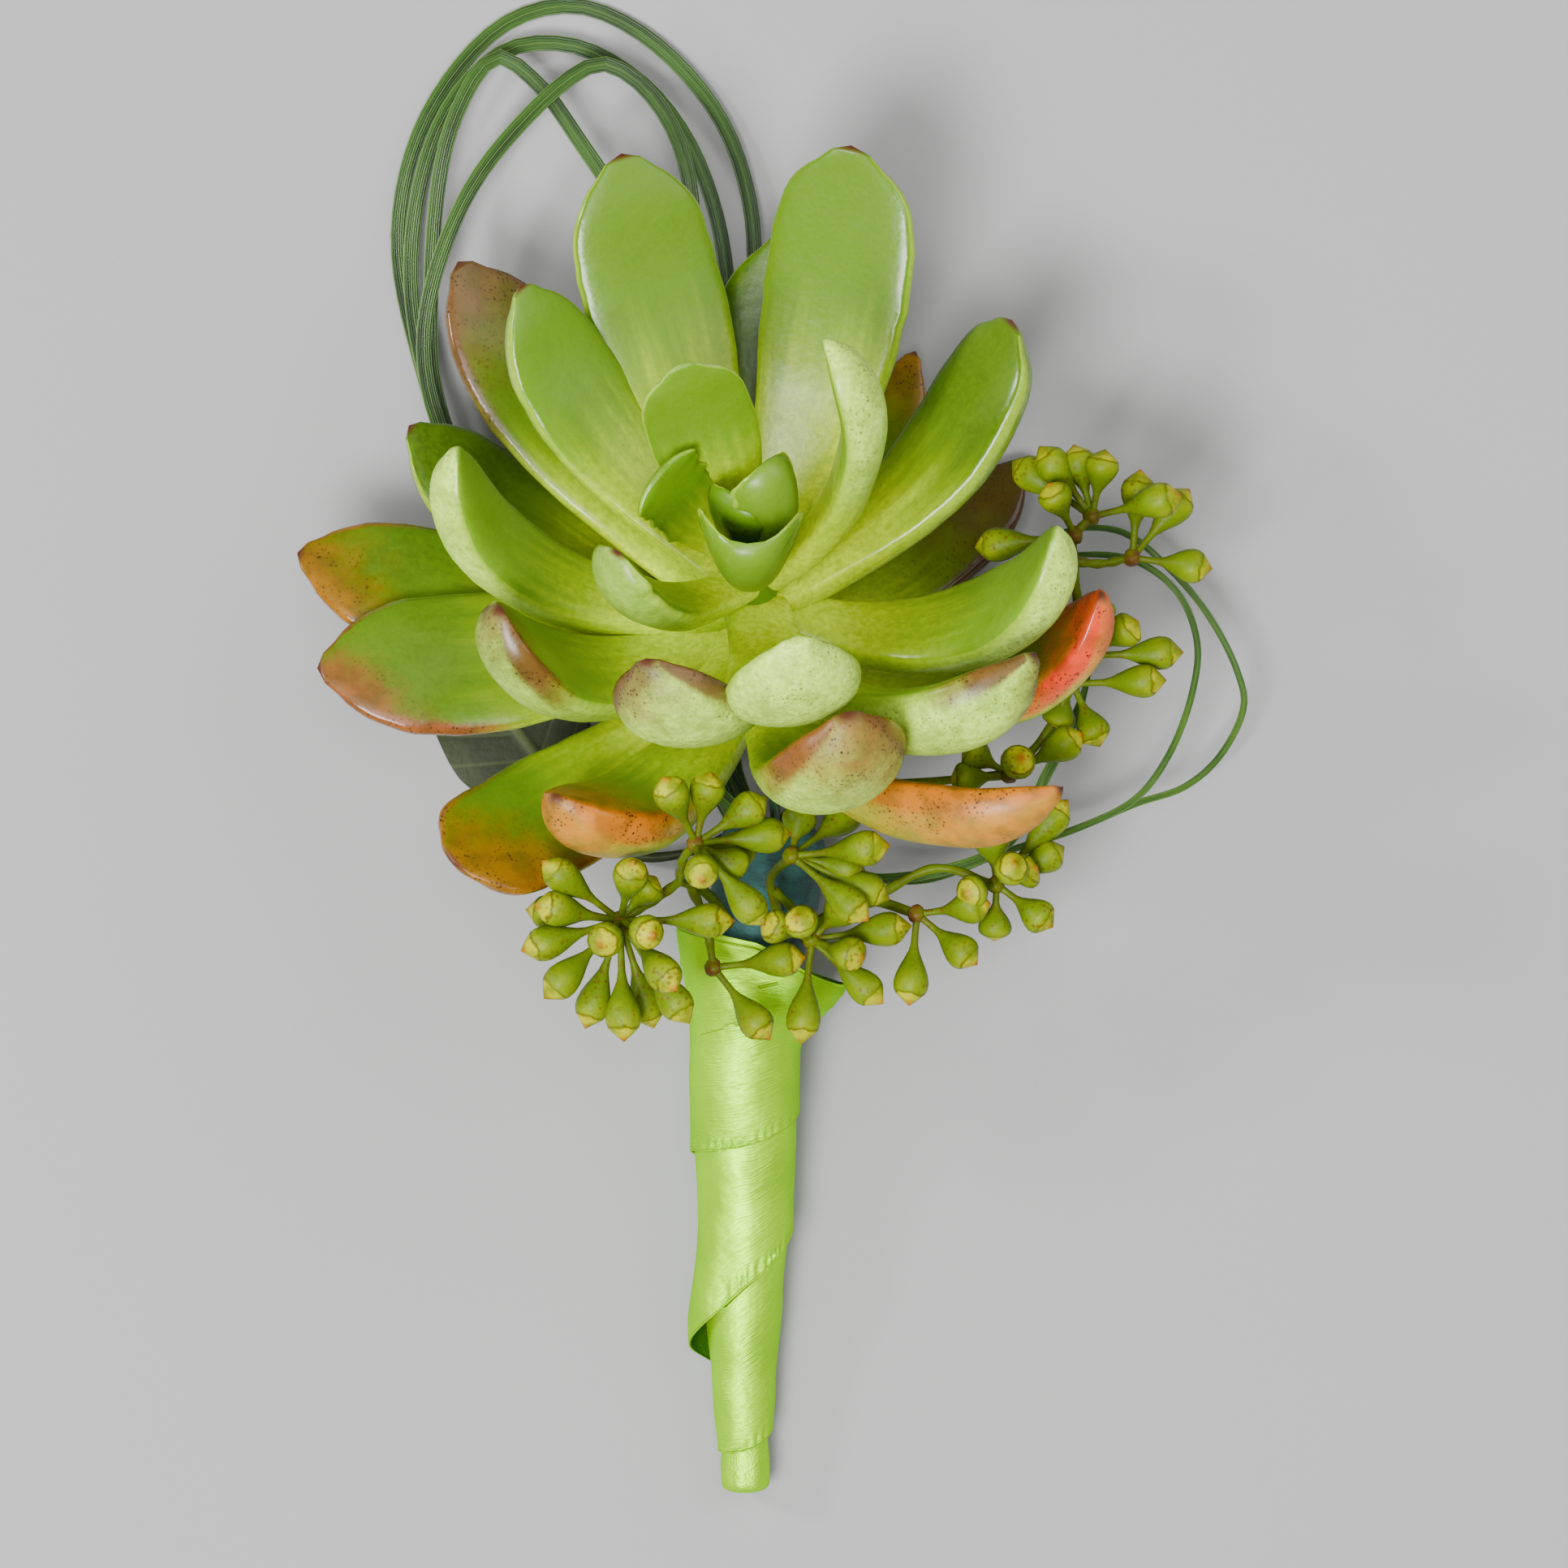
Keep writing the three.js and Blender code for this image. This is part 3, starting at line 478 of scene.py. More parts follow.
# The same leaves as in the part, youngest last, each with its own look.
ROSETTE_LEAVES = [
    # oldest, spread wide
    leaf((13.9, 39.4, 2.2), 12, 8, 4.5, bend=45, blush="orange", reach=0.3),
    leaf((24.5, 28.5, 3.3), 12, 10.5, 5, bend=55, blush="wine", reach=0.65),
    leaf(
        (-30.9, -10.7, 29), 13, 13.4, 5, bend=62, roll=-12, deep=0.6, blush="orange", reach=0.3,
        lean=-0.14, blunt=0.8,
    ),
    leaf(
        (-46.5, 19.3, 16), 12, 14, 5, bend=32, roll=-15, deep=0.8, blush="orange", reach=0.22,
        lean=-0.1,
    ),
    leaf((1.1, 50.6, 15), 9, 14, 5, bend=35, deep=0.9, powder=0),
    leaf((-35.7, 31.6, 15), 10, 13, 4.5, bend=50, deep=1),
    leaf(
        (27.3, -4, 36), 12.5, 9, 6.4, roll=-52, blush="salmon", reach=0.7, lean=0.1, powder=0.8,
    ),
    leaf((-20.8, -4.8, 36), 12, 12, 7.4, bend=98, roll=14, blush="salmon", reach=0.4, powder=0.6),
    leaf(
        (-44.2, 8, 22), 10, 15, 5.5, bend=26, roll=-22, deep=0.7, blush="rust", reach=0.16,
        lean=-0.14,
    ),
    leaf((31.6, 14.7, 30), 12, 11, 6, bend=112, blush="red", reach=0.34, powder=0.9),
    leaf((-30.9, 47.7, 16), 8, 14, 5.5, bend=40, deep=0.5, blush="rose", reach=0.34),
    leaf((6.8, 3, 47), 9, 14.5, 8, bend=112, powder=1, blush="brick", reach=0.3, lean=-0.05),
    leaf((-26.2, 13.2, 38), 8, 12, 7, bend=104, powder=0.6, blush="brown", reach=0.16),
    leaf(
        (24.6, 8.8, 40), 7, 12, 7.4, bend=90, roll=-42, powder=1, blush="brown", reach=0.14,
        lean=-0.06,
    ),
    leaf(
        (-11.9, 8, 48), 7.5, 13, 6.6, bend=88, roll=22, powder=1, blush="rose", reach=0.2,
        lean=0.06,
    ),
    # full-grown, half open
    leaf((-14.9, 57.8, 23), 5.5, 14.5, 5.5, bend=40, blunt=0.25, deep=0.3),
    leaf((7.5, 58.4, 26), 4.5, 16, 5.5, bend=40, roll=-14, blunt=0.35, deep=0.25),
    leaf((23, 41.4, 25), 5.5, 12.8, 6, bend=60, roll=-14, blunt=0.6, deep=0.75),
    leaf((-24.5, 44.7, 28), 4, 12, 5.5, bend=50, deep=0.05),
    leaf((27.2, 20.6, 37), 5, 11.5, 6.5, bend=112, deep=-0.1, powder=1),
    leaf((-30.8, 28.6, 32), 5, 10, 6.5, bend=120, deep=-0.1, powder=1),
    leaf((2.3, 10, 53), 4.5, 13.5, 5.8, bend=92, deep=-0.1, powder=1),
    # young, round the heart
    leaf((4.9, 38.6, 42), 2, 9, 5, bend=85, roll=-35, deep=-0.1, powder=1),
    leaf((-8.8, 36.4, 40), 1.5, 11, 3.5, bend=30, roll=-45, blunt=0.3, deep=-0.1, powder=0.6),
    leaf((-14.8, 18.8, 45), 2, 8.5, 4.5, bend=75, powder=0.4, ragged=0.5, blunt=0.5),
    leaf((-11, 26.4, 37), 0.5, 8, 2.6, bend=50, roll=-60, deep=-0.3, powder=0.1, ragged=1, blunt=1),
    leaf(
        (-0.6, 27.8, 38), 0.5, 7.5, 2.6, bend=60, roll=-8, fold=2, deep=-0.6, powder=0.1,
        ragged=0.8, blunt=0.8,
    ),
    leaf(
        (-4, 24.6, 36), 0.2, 7.5, 2.2, bend=30, fold=1, deep=-1.8, powder=0, ragged=0.6, blunt=0.6,
    ),
    leaf(
        (-2.6, 19.5, 42), 0.5, 9.8, 3.2, bend=40, cup=0.2, fold=4.8, deep=-0.7, powder=0.1,
        ragged=1, blunt=1,
    ),
]


def leaf_outline(t, blunt):
    """Half-width of the blade, for a widest half-width of 1."""
    if t < LEAF_WIDEST:
        return lerp(LEAF_ROOT_SHARE, 1, smooth(t, 0.1, LEAF_WIDEST))
    fall = (t - LEAF_WIDEST) / (1 - LEAF_WIDEST)
    return max(0, 1 - fall ** (2.5 + 4 * blunt)) ** 0.6


def leaf_thickness(t):
    if t < LEAF_WIDEST:
        return lerp(LEAF_ROOT_THICK, 1, t / LEAF_WIDEST)
    fall = (t - LEAF_WIDEST) / (1 - LEAF_WIDEST)
    return max(0, 1 - fall**2.6) ** 0.55


def leaf_blank():
    """A ball with its poles at root and tip, its rings closer together towards the tip."""
    deselect()
    bpy.ops.mesh.primitive_uv_sphere_add(segments=32, ring_count=30, rotation=(-math.pi / 2, 0, 0))
    blank = newest("leaf_blank")
    bpy.ops.object.transform_apply(rotation=True)
    for vertex in blank.data.vertices:
        step = math.acos(max(-1, min(1, -vertex.co.y))) / math.pi
        round_it = Vector((vertex.co.x, vertex.co.z))
        if round_it.length > 1e-4:
            round_it.normalize()
        vertex.co = (round_it.x, 1 - (1 - step) ** RING_GATHER, round_it.y)
    return mark_grown(blank)


def curl_leaf(piece, shape, number, growing_tip, axis):
    """Bend a blank into a leaf: its midrib is an arc that curls towards the plant's axis."""
    root = growing_tip - axis * shape["back"]
    chord = Vector(shape["tip"]) - root
    along = chord.normalized()
    face = (axis - along * axis.dot(along)).normalized()
    face.rotate(Quaternion(along, math.radians(shape["roll"])))
    side = along.cross(face)
    curl = math.radians(shape["bend"])
    radius = chord.length / (2 * math.sin(curl / 2))
    for vertex in piece.data.vertices:
        across, t, rise = vertex.co
        turn = curl * (t - 0.5)
        point = root + along * radius * (math.sin(turn) + math.sin(curl / 2))
        point += face * radius * (math.cos(curl / 2) - math.cos(turn))
        up = face * math.cos(turn) - along * math.sin(turn)
        onward = along * math.cos(turn) + face * math.sin(turn)
        depth = shape["thick"] * leaf_thickness(t)
        hollow = shape["cup"] * (1 - across**2)
        below = (1 - FACE_SHARE) * depth * rise
        lift = depth * (FACE_SHARE * rise - hollow) if rise > 0 else below
        dent = DENT * noise.noise(point * 0.14 + Vector((number, 0, 0)))
        ripple = RIPPLE * noise.noise(point * 0.45 + Vector((0, number, 0)))
        torn = shape["ragged"] * noise.noise(point * 1.1) * across**4
        outline = leaf_outline(t, shape["blunt"])
        width = shape["width"] / 2 * outline
        width *= 1 + (ripple + TORN_IN * torn) * smooth(t, 0.3, 0.6)
        point += side * width * across
        lift += shape["fold"] * abs(across * outline) ** 2.5
        lift += (dent + TORN_UP * torn) * smooth(t, 0.15, 0.5)
        spike = POINT_LENGTH * (1 - shape["ragged"]) * smooth(t, 0.975, 1)
        vertex.co = point + up * lift + onward * spike
    return mark_look(piece, shape)


def mark_look(piece, shape):
    """Keep a leaf's look on its vertices."""
    mark(piece, "blush", "FLOAT_COLOR", (*BLUSHES[shape["blush"]], 1))
    mark(piece, "lean", "FLOAT", shape["lean"])
    return mark(piece, "look", "FLOAT_VECTOR", (shape["deep"], shape["powder"], shape["reach"]))


def rosette_stem(growing_tip, axis, length, radius):
    """The short thick stem that the leaves grow from."""
    stem = mark_grown(straight_tube(20, 6))
    route = Route([growing_tip - axis * length, growing_tip - axis * length / 2, growing_tip])
    lay_along(stem, route, round_section(lambda t: radius * lerp(1, STEM_TOP, t)))
    return mark_look(stem, leaf((0, 0, 0), 0, 0, 0, powder=0))


def leaf_bloom(tree, along, rise, powder):
    """The powdery bloom, thicker underneath and towards the tip, and worn in places."""
    worn = cloud(tree, 300, 6, roughness=0.7).step(0.32, 0.62, 0.5, 1)
    return powder * along.step(0.35, 0.75) * worn * rise.step(0.15, -0.3, 0.12, 1)


def leaf_flush(tree, along, side, reach):
    """The sun's blush, from the tip down and more to one side."""
    margin = abs(side).step(0.8, 0.97)
    ahead = cloud(tree, 330, 6, roughness=0.7) * 0.26 + along
    ahead = ahead + margin * 0.18 + side * kept(tree, "lean")
    blushed = ahead.step(1.1 - reach, 1.2 - reach * 0.25)
    return blushed * calc("GREATER_THAN", reach, 0.01) * (margin * 0.1 + 0.86)


def leaf_blade(tree, look, along, side, deep):
    """The green of a blade: yellow at its base, made brighter as painted glow; patchy and deeper
    towards its tip, with painted shade on leaves in shadow; dark at the roots of the heart's
    leaves, with painted shade in the hollow; and a thin pale edge, partly painted highlight.
    """
    # Towards the tip the green deepens: the real deeper green of older leaves, and painted shade on
    # leaves that lie in shadow.
    ahead = mixed(calc("MAXIMUM", deep, 0), look.leaf_green, look.leaf_deep)
    ahead = mottled(tree, ahead, look.leaf_shade, 150, 0.6)
    streaks = cloud(tree, 2.4, 4, vector(side * 2.2, along * 1.1, deep), 0.6)
    onward = (streaks - 0.5) * 0.3 + along
    # The yellow-green base: its real colour, made brighter as painted glow of light through the
    # flesh.
    body = mixed(onward.step(0.14, 0.72), look.leaf_base_and_glow, ahead)
    # Painted shade: near-black green at the roots of the heart's leaves for the dark hollow, along
    # with their own darker green.
    heart = deep * along.step(0.55, 0.95, -1, 0)
    body = mixed(calc("MAXIMUM", heart, 0), body, look.leaf_heart_shade)
    body = mottled(tree, body, look.leaf_shade, 1100, 0.18)
    # A thin pale edge: partly the leaf's real pale margin, partly painted highlight along the
    # rounded rim.
    rim = abs(side).step(0.955, 0.995) * along.step(0.3, 0.6)
    return mixed(rim * 0.5, body, look.leaf_rim_and_highlight)


def leaf_skin(look):
    """Waxy leaf: yellow-green at its base, powdery underneath, blushed at some tips."""

    def fields(tree):
        along, side, rise = grown(tree)
        deep, powder, reach = split(kept(tree, "look", "Vector"))
        frost = leaf_bloom(tree, along, rise, powder)
        blushed = leaf_flush(tree, along, side, reach)
        body = mixed(frost, leaf_blade(tree, look, along, side, deep), look.leaf_powder)
        body = mottled(tree, body, look.leaf_green, 1700, 0.3)
        blush = kept(tree, "blush", "Color")
        blush = mottled(tree, blush, mixed(0.6, blush, look.leaf_speck), 420, 0.75)
        body = mixed(blushed, body, blush)
        crowd = calc("MAXIMUM", blushed * 1.3, frost * 0.8) + 0.09
        specks = grouped(tree, "Freckles", Scale=2300, Size=0.36)
        body = mixed(specks * crowd, body, look.leaf_speck)
        hard = along.step(0.988, 0.998) * calc("GREATER_THAN", deep, -0.05)
        glossy = abs(side).step(0.8, 0.95, 0, -0.16)
        return {
            "Base_Color": mixed(hard, body, look.leaf_point),
            "Roughness": glossy + frost.step(0, 0.8, look.leaf_gloss, 0.58),
            "Normal": relief(cloud(tree, 1400, 2) * 0.3 + cloud(tree, 420), 0.00008),
        }

    return skin(
        "waxy_leaf", fields, Subsurface_Weight=0.2, Subsurface_Scale=0.002,
        Subsurface_Radius=(0.6, 0.9, 0.1), Specular_IOR_Level=0.34, Coat_Weight=0.03,
        Coat_Roughness=0.15,
    )


# ---------------------------------------------------------------- seeded eucalyptus
STEM_RADIUS = 0.6
SIDE_STEM = 0.85  # share of that radius
STEM_TIP = 0.8  # share of a stem's radius that is left at its end
STEM_UNEVEN = 0.12
KNOT_RADIUS = 0.95
KNOT_LUMPS = 0.2
BUD_UNEVEN = 0.06  # in stoutness
BOUND_AT = (0.46, 0.58, 0.7)  # shares of the handle that a stem passes before it leaves
STALK_SHARE = 0.42  # of the drawn bud's length that is its stalk
CUP_SHARE, CUP_LONGEST = 0.62, 6.2  # cup and cap: share of a bud's reach, and at most so long

# A bud from the knot to its point: share of its length, and radius.
BUD_PROFILE = [
    (0.0, 0.42), (0.2, 0.36), (0.36, 0.4), (0.44, 0.58), (0.52, 0.96), (0.6, 1.38), (0.68, 1.72),
    (0.76, 1.9), (0.82, 1.84), (0.855, 1.7), (0.862, 1.64), (0.87, 1.62), (0.9, 1.3),
    (0.935, 0.88), (0.965, 0.5), (0.985, 0.24), (1.0, 0.06),
]

# Each spray: where its stem is bound in, the way it takes to its first knot, its side stems, and
# its knots with their buds, each by its heading, its lift and its reach.
SPRAYS = {
    "eucalyptus_spray_left": {
        "bound": 140,
        "route": [(-3.7, -19.6, 11.4), (-4.9, -16.4, 15), (-7, -14, 20), (-9.3, -13, 26)],
        "side": [
            [(-9.3, -13, 26), (-8.9, -10.8, 30.4), (-7.6, -9.2, 34)],
            [(-9.3, -13, 26), (-12, -15, 27), (-15.1, -16.8, 27.6)],
            [(-8.4, -13.3, 23), (-6.9, -16.6, 21), (-6, -21.6, 19.4)],
        ],
        "umbels": {
            (-7.6, -9.2, 34): [
                (116, 34, 8.6), (78, 16, 7.4), (33, -2, 8.2), (6, -18, 9.8), (-78, 60, 7.4),
                (-50, -10, 10.6), (-29, -36, 6.8), (-8, -52, 9),
            ],
            (-15.1, -16.8, 27.6): [
                (142, 20, 10.2), (169, 24, 9.2), (174, -20, 10), (197, 6, 10.2), (226, 10, 10.8),
                (252, -4, 11.2), (272, 9, 12), (287, -16, 11.6), (304, 2, 12.2), (310, 34, 10.6),
                (233, 68, 8), (338, 60, 7.6), (76, 46, 8.8), (50, 4, 5.6), (0, 10, 11.4),
            ],
            (-6, -21.6, 19.4): [(7, 12, 9.4), (-52, 5, 9.1)],
        },
    },
    "eucalyptus_spray_middle": {
        "bound": 62,
        "route": [(-0.9, -19.6, 12.2), (0.2, -16.2, 15.6), (-0.4, -12.8, 20.6), (1.7, -10.5, 26)],
        "side": [[(0, -14, 18.4), (2.2, -16.2, 20), (3.7, -18.8, 21)]],
        "umbels": {
            (1.7, -10.5, 26): [
                (6, 14, 10), (-40, 10, 10), (-12, -12, 7.6), (-24, -6, 10.6), (36, -38, 10.6),
                (78, -30, 5.6),
            ],
            (3.7, -18.8, 21): [
                (264, 4, 10.4), (-20, 40, 7), (-42, 6, 9.5), (8, 6, 10), (160, 30, 6),
                (120, 60, 5.6), (46, 12, 5.4),
            ],
        },
    },
    "eucalyptus_spray_lower": {
        "bound": -12,
        "route": [(2.2, -19.4, 11), (5.2, -16.6, 13.4), (9.4, -15, 17.4), (14.1, -16.3, 20)],
        "side": [[(9.4, -15, 17.4), (16, -11.8, 17.6), (22, -13.4, 19)]],
        "umbels": {
            (14.1, -16.3, 20): [(265, 4, 9.1), (-40, 4, 7.8), (8, 12, 7.5)],
            (22, -13.4, 19): [
                (-37, 3, 7), (268, -14, 5.8), (196, 50, 5.4), (50, 64, 6.4), (24, 24, 4.8),
                (29, -8, 7.8), (96, -4, 5.4), (50, 0, 11),
            ],
        },
    },
    "eucalyptus_spray_right": {
        "bound": 272,
        "route": [
            (-0.8, -14, 7.7), (0.5, -7.4, 7.6), (5, -3.8, 8.8), (13, -3.4, 13), (23.3, -2.5, 18.6),
        ],
        "side": [
            [(23.3, -2.5, 18.6), (27, 1.6, 17.4), (29.6, 6.5, 17.6), (31.2, 9.3, 17.6)],
            [
                (31.2, 9.3, 17.6), (30.2, 14, 17), (29.7, 18.6, 18.4), (29.7, 21.1, 20.6),
                (31.4, 23, 20),
            ],
            [(29.7, 18.6, 18.4), (32.4, 18.4, 17.4), (35.5, 19, 17)],
        ],
        "umbels": {
            (23.3, -2.5, 18.6): [(29, 4, 8.4), (60, 72, 6), (150, -4, 5.4), (186, 0, 6)],
            (29.6, 6.5, 17.6): [(2, 8, 9.3), (-67, 4, 6.8), (248, -12, 5)],
            (31.2, 9.3, 17.6): [(35, 24, 6.4), (2, -4, 9.4), (78, -4, 6.2)],
            (31.4, 23, 20): [
                (79, 8, 6.8), (127, 0, 8.7), (144, -22, 10.4), (104, -6, 7.4), (13, 16, 9.4),
            ],
            (29.7, 21.1, 20.6): [(118, 26, 6.4), (186, -24, 10.8)],
            (35.5, 19, 17): [(85, 4, 8.8), (50, -6, 9), (-8, 5, 8)],
        },
    },
}


def bud_blank():
    """One seed bud, drawn up ring by ring from its stalk to its pointed cap."""
    deselect()
    first = BUD_PROFILE[0][1]
    bpy.ops.mesh.primitive_circle_add(vertices=14, radius=first, fill_type="NGON")
    blank = newest("bud_blank")
    bpy.ops.object.mode_set(mode="EDIT")
    bpy.ops.mesh.select_all(action="SELECT")
    for (low, before), (high, after) in zip(BUD_PROFILE, BUD_PROFILE[1:]):
        bpy.ops.mesh.extrude_region_move(TRANSFORM_OT_translate={"value": (0, 0, high - low)})
        bpy.ops.transform.resize(value=(after / before, after / before, 1))
    bpy.ops.mesh.select_all(action="SELECT")
    bpy.ops.mesh.normals_make_consistent(inside=False)
    bpy.ops.object.mode_set(mode="OBJECT")
    return mark(blank, "ripe", "FLOAT", lambda vertex: vertex.co.z)


def knot_blank():
    """A joint of the stem, lumpy with old scars."""
    deselect()
    bpy.ops.mesh.primitive_ico_sphere_add(subdivisions=3, radius=KNOT_RADIUS)
    blank = newest("knot_blank")
    for vertex in blank.data.vertices:
        vertex.co *= 0.94 + KNOT_LUMPS * noise.noise(vertex.co * 1.6)
    return mark(blank, "ripe", "FLOAT", -1)


def set_bud(piece, hub, turn, lift, reach, fatness, number):
    """Turn a copy of the bud to its heading, and give it its own length, stoutness and lean."""
    heading, climb = math.radians(turn), math.radians(lift)
    direction = Vector((
        math.cos(heading) * math.cos(climb),
        math.sin(heading) * math.cos(climb),
        math.sin(climb),
    ))
    across = direction.cross(UP).normalized()
    up = across.cross(direction)
    cup = min(CUP_SHARE * reach, CUP_LONGEST)
    stout = fatness * (1 + BUD_UNEVEN * noise.noise(Vector((number * 3.7, 0, 0))))
    for vertex in piece.data.vertices:
        x, y, share = vertex.co
        if share < STALK_SHARE:
            distance = share / STALK_SHARE * (reach - cup)
        else:
            distance = reach - cup + (share - STALK_SHARE) / (1 - STALK_SHARE) * cup
        vertex.co = hub + direction * distance + (across * x + up * y) * stout
    return piece


def stem_along(blank, points, radius, start=0):
    """A round stem, a little thinner towards its end and not quite even."""

    def radius_at(t):
        wave = math.sin(t * 23 + points[0][0])
        return radius * lerp(1, STEM_TIP, t) * (1 + STEM_UNEVEN * wave)

    return lay_along(copy_of(blank), Route(points), round_section(radius_at), start)


def spray(name, shape, blanks, fatness):
    """One spray: its bound stem, its side stems, and every knot with its buds."""
    bud, knot, stem = blanks
    bound = [beside_handle(share, shape["bound"], INNER_RING) for share in BOUND_AT]
    pieces = [stem_along(stem, [*bound, *shape["route"]], STEM_RADIUS, 0.02)]
    pieces += [stem_along(stem, points, STEM_RADIUS * SIDE_STEM) for points in shape["side"]]
    number = 0
    for at, buds in shape["umbels"].items():
        joint = copy_of(knot)
        joint.data.transform(Matrix.Translation(at))
        pieces.append(joint)
        for turn, lift, reach in buds:
            number += 1
            pieces.append(set_bud(copy_of(bud), Vector(at), turn, lift, reach, fatness, number))
    return joined(pieces, name)


def bud_skin(look):
    """Yellow-green buds with ochre caps, on olive stalks from red-brown knots."""
    stops = [
        (0, look.knot_brown), (0.42, look.knot_brown), (0.5, look.stalk_olive),
        (0.7, look.stalk_olive), (0.8, look.bud_green), (0.925, look.bud_yellow),
        (0.935, look.bud_rim), (0.945, look.bud_cap), (0.97, look.bud_cap), (0.995, look.bud_tip),
    ]

    def fields(tree):
        ripe = kept(tree, "ripe") + (cloud(tree, 700, 2) * 0.1 - 0.05)
        ramp = add(tree, "ValToRGB", {0: ripe * 0.5 + 0.5})
        elements = ramp.color_ramp.elements
        while len(elements) < len(stops):
            elements.new(0.5)
        for element, (position, tint) in zip(elements, stops):
            element.position = position
            element.color = (*tint, 1)
        body = mottled(tree, Field(ramp.outputs[0]), look.bud_green, 520, 0.75)
        specks = grouped(tree, "Freckles", Scale=1900, Size=0.4)
        return {
            "Base_Color": mixed(specks * 0.8, body, look.knot_brown),
            "Normal": relief(cloud(tree, 1500), 0.00008),
        }

    return skin("eucalyptus_seed", fields, Roughness=0.42, Specular_IOR_Level=0.12)


# ---------------------------------------------------------------- binding: handle, tape and wire
HANDLE_LINE = Route([
    (-2.9, -74.8, 3.2), (-3.1, -60, 4), (-3.0, -45, 5.6), (-3.0, -30, 7.6), (-2.4, -22, 8.8),
    (-0.9, -14, 9.6), (0.2, -7, 9.8),
])
INNER_RING = 1.9  # of stems, round the middle of the handle
OUTER_RING = 4
AT_TOP = (0.885, 0.935, 0.985)  # shares of the handle where the loops are bound in
AT_SIDE = (0.85, 0.885, 0.92)  # and where the fine blades and the leafstalk are
TAPE_START = 0.02
TAPE_PITCH = 6  # between two edges of the wound tape
TAPE_EDGE = 0.2  # how far the lower edge of a turn stands proud
TAPE_LUMPS = 0.16
TAPE_TAPER = 0.22  # share of its girth that it draws in at its very top
WIRE_AT = (0.1, 0.3, 0.5, 0.7, 0.85)  # shares of the handle that the wire passes
WIRE_TURN = [(0.1, -7, 9.4), (-0.9, -0.6, 8.2)]  # its way from the handle to the rosette's stem
WIRE_STEPS = (3.2, -1, -7)  # below the foot of that stem, and on up into it
tape_girth = profile([
    (0, 1.3), (0.05, 1.45), (0.17, 1.9), (0.29, 2.5), (0.41, 3.0), (0.53, 3.5), (0.65, 3.9),
    (0.77, 4.7), (0.88, 5.4), (0.96, 5.3), (1, 4.6),
])


def beside_handle(share, degrees, distance):
    turn = math.radians(degrees)
    return HANDLE_LINE.at(share) + Vector((math.cos(turn), 0, math.sin(turn))) * distance


def bound_blade(degrees, shares):
    return [beside_handle(share, degrees, OUTER_RING) for share in shares]


def taped_bundle():
    """The stems bound in stretched tape: each turn's lower edge stands a little proud."""
    tape = mark_grown(straight_tube(48, 150))

    def section(side, rise, t):
        share = lerp(TAPE_START, 1, t)
        round_it = math.atan2(rise, side) / (2 * math.pi)
        wound = (share * HANDLE_LINE.length / TAPE_PITCH - round_it) % 1
        place = HANDLE_LINE.at(share) * 0.35 + Vector((side, 0, rise)) * 1.5
        girth = tape_girth(share) - 0.05 + TAPE_EDGE * (1 - wound) ** 2
        girth += TAPE_LUMPS * noise.noise(place)
        girth *= 1 - TAPE_TAPER * smooth(share, 0.975, 1) ** 2
        return side * girth, rise * girth

    return lay_along(tape, HANDLE_LINE, section, TAPE_START)


def florist_wire(growing_tip, axis, stem_length, radius):
    """The wire, from inside the handle up into the rosette's stem."""
    inside = [HANDLE_LINE.at(share) for share in WIRE_AT]
    into = [growing_tip - axis * (stem_length + step) for step in WIRE_STEPS]
    wire = mark_grown(straight_tube(12, 90))
    route = Route([*inside, *WIRE_TURN, *into])
    return lay_along(wire, route, round_section(lambda t: radius), 0.006, 0.994)


def tape_skin(look):
    """Waxed crepe tape: dark teal, finely creased across its stretch."""

    def fields(tree):
        along, side, rise = grown(tree)
        creases = cloud(tree, 3, 4, vector(along * 90, side * 1.5, rise * 1.5), 0.7)
        return {
            "Base_Color": mottled(tree, look.tape_teal, look.tape_dark, 500, 0.8),
            "Normal": relief(creases, 0.0003),
        }

    return skin("crepe_tape", fields, Roughness=0.55)


def wire_skin(look):
    """Green enamelled wire."""

    def fields(tree):
        return {
            "Base_Color": mottled(tree, look.wire_green, look.tape_dark, 900, 0.4),
            "Normal": relief(cloud(tree, 1800), 0.00003),
        }

    return skin("enamelled_wire", fields, Roughness=0.35)


# ---------------------------------------------------------------- satin ribbon
# Height of the ribbon's lower edge above the cut ends, at each quarter turn round the handle,
# from the left over the front to the right and behind; the last four lie under the head.
RIBBON_EDGE = [
    4.2, 4.5, 6.6, 10.6, 14.8, 21.4, 27, 31.2, 34.7, 36, 38.8, 42, 45.4, 48.6, 50.4, 51.6, 52.6,
]
RIBBON_START = -1.3  # in quarter turns, behind the handle
RIBBON_TOP = 0.83  # share of the handle, on the left
RIBBON_SLANT = 0.055  # how much lower its top is on the right
FLARE_RIGHT, FLARE_LEFT, FLARE_FRONT = 3.6, 1.6, 0.7  # of its top edge
RIBBON_LAYERS = 0.8  # of wound satin under the turn that shows
RIBBON_LIP = 0.55  # how far a turn's lower edge stands off the turn below
LIP_AT_FOOT, LIP_AT_TOP = 0.15, 0.18  # shares of it, on the first and the last turns
POCKET = (4.05, 0.75, 1.5)  # a turn that stands open: quarter turn, reach and depth
STRIP_CUTS = (680, 18)  # along and across
FOLD_REACH = 27  # of the ribbon's end, folded lengthwise over the cut ends before it is wound
EDGE_STOPS = [Vector((quarter, height, 0)) for quarter, height in enumerate(RIBBON_EDGE)]
# Where the lower edge is puckered: quarter turn, reach and depth.
PUCKERS = [(8.9, 1.1, 0.24), (5.2, 0.9, 0.26), (1.2, 0.9, 0.16), (7, 1.2, 0.08)]
# Soft unevenness of the cloth: its depth, how often it comes along and across, and its place.
DRAPES = [(0.13, 0.16, 2.4, 3), (0.05, 0.5, 7, 9)]


def ribbon_edge(quarters):
    if quarters <= 0:
        return RIBBON_EDGE[0]
    return curve_point(EDGE_STOPS, min(quarters, len(EDGE_STOPS) - 1)).y


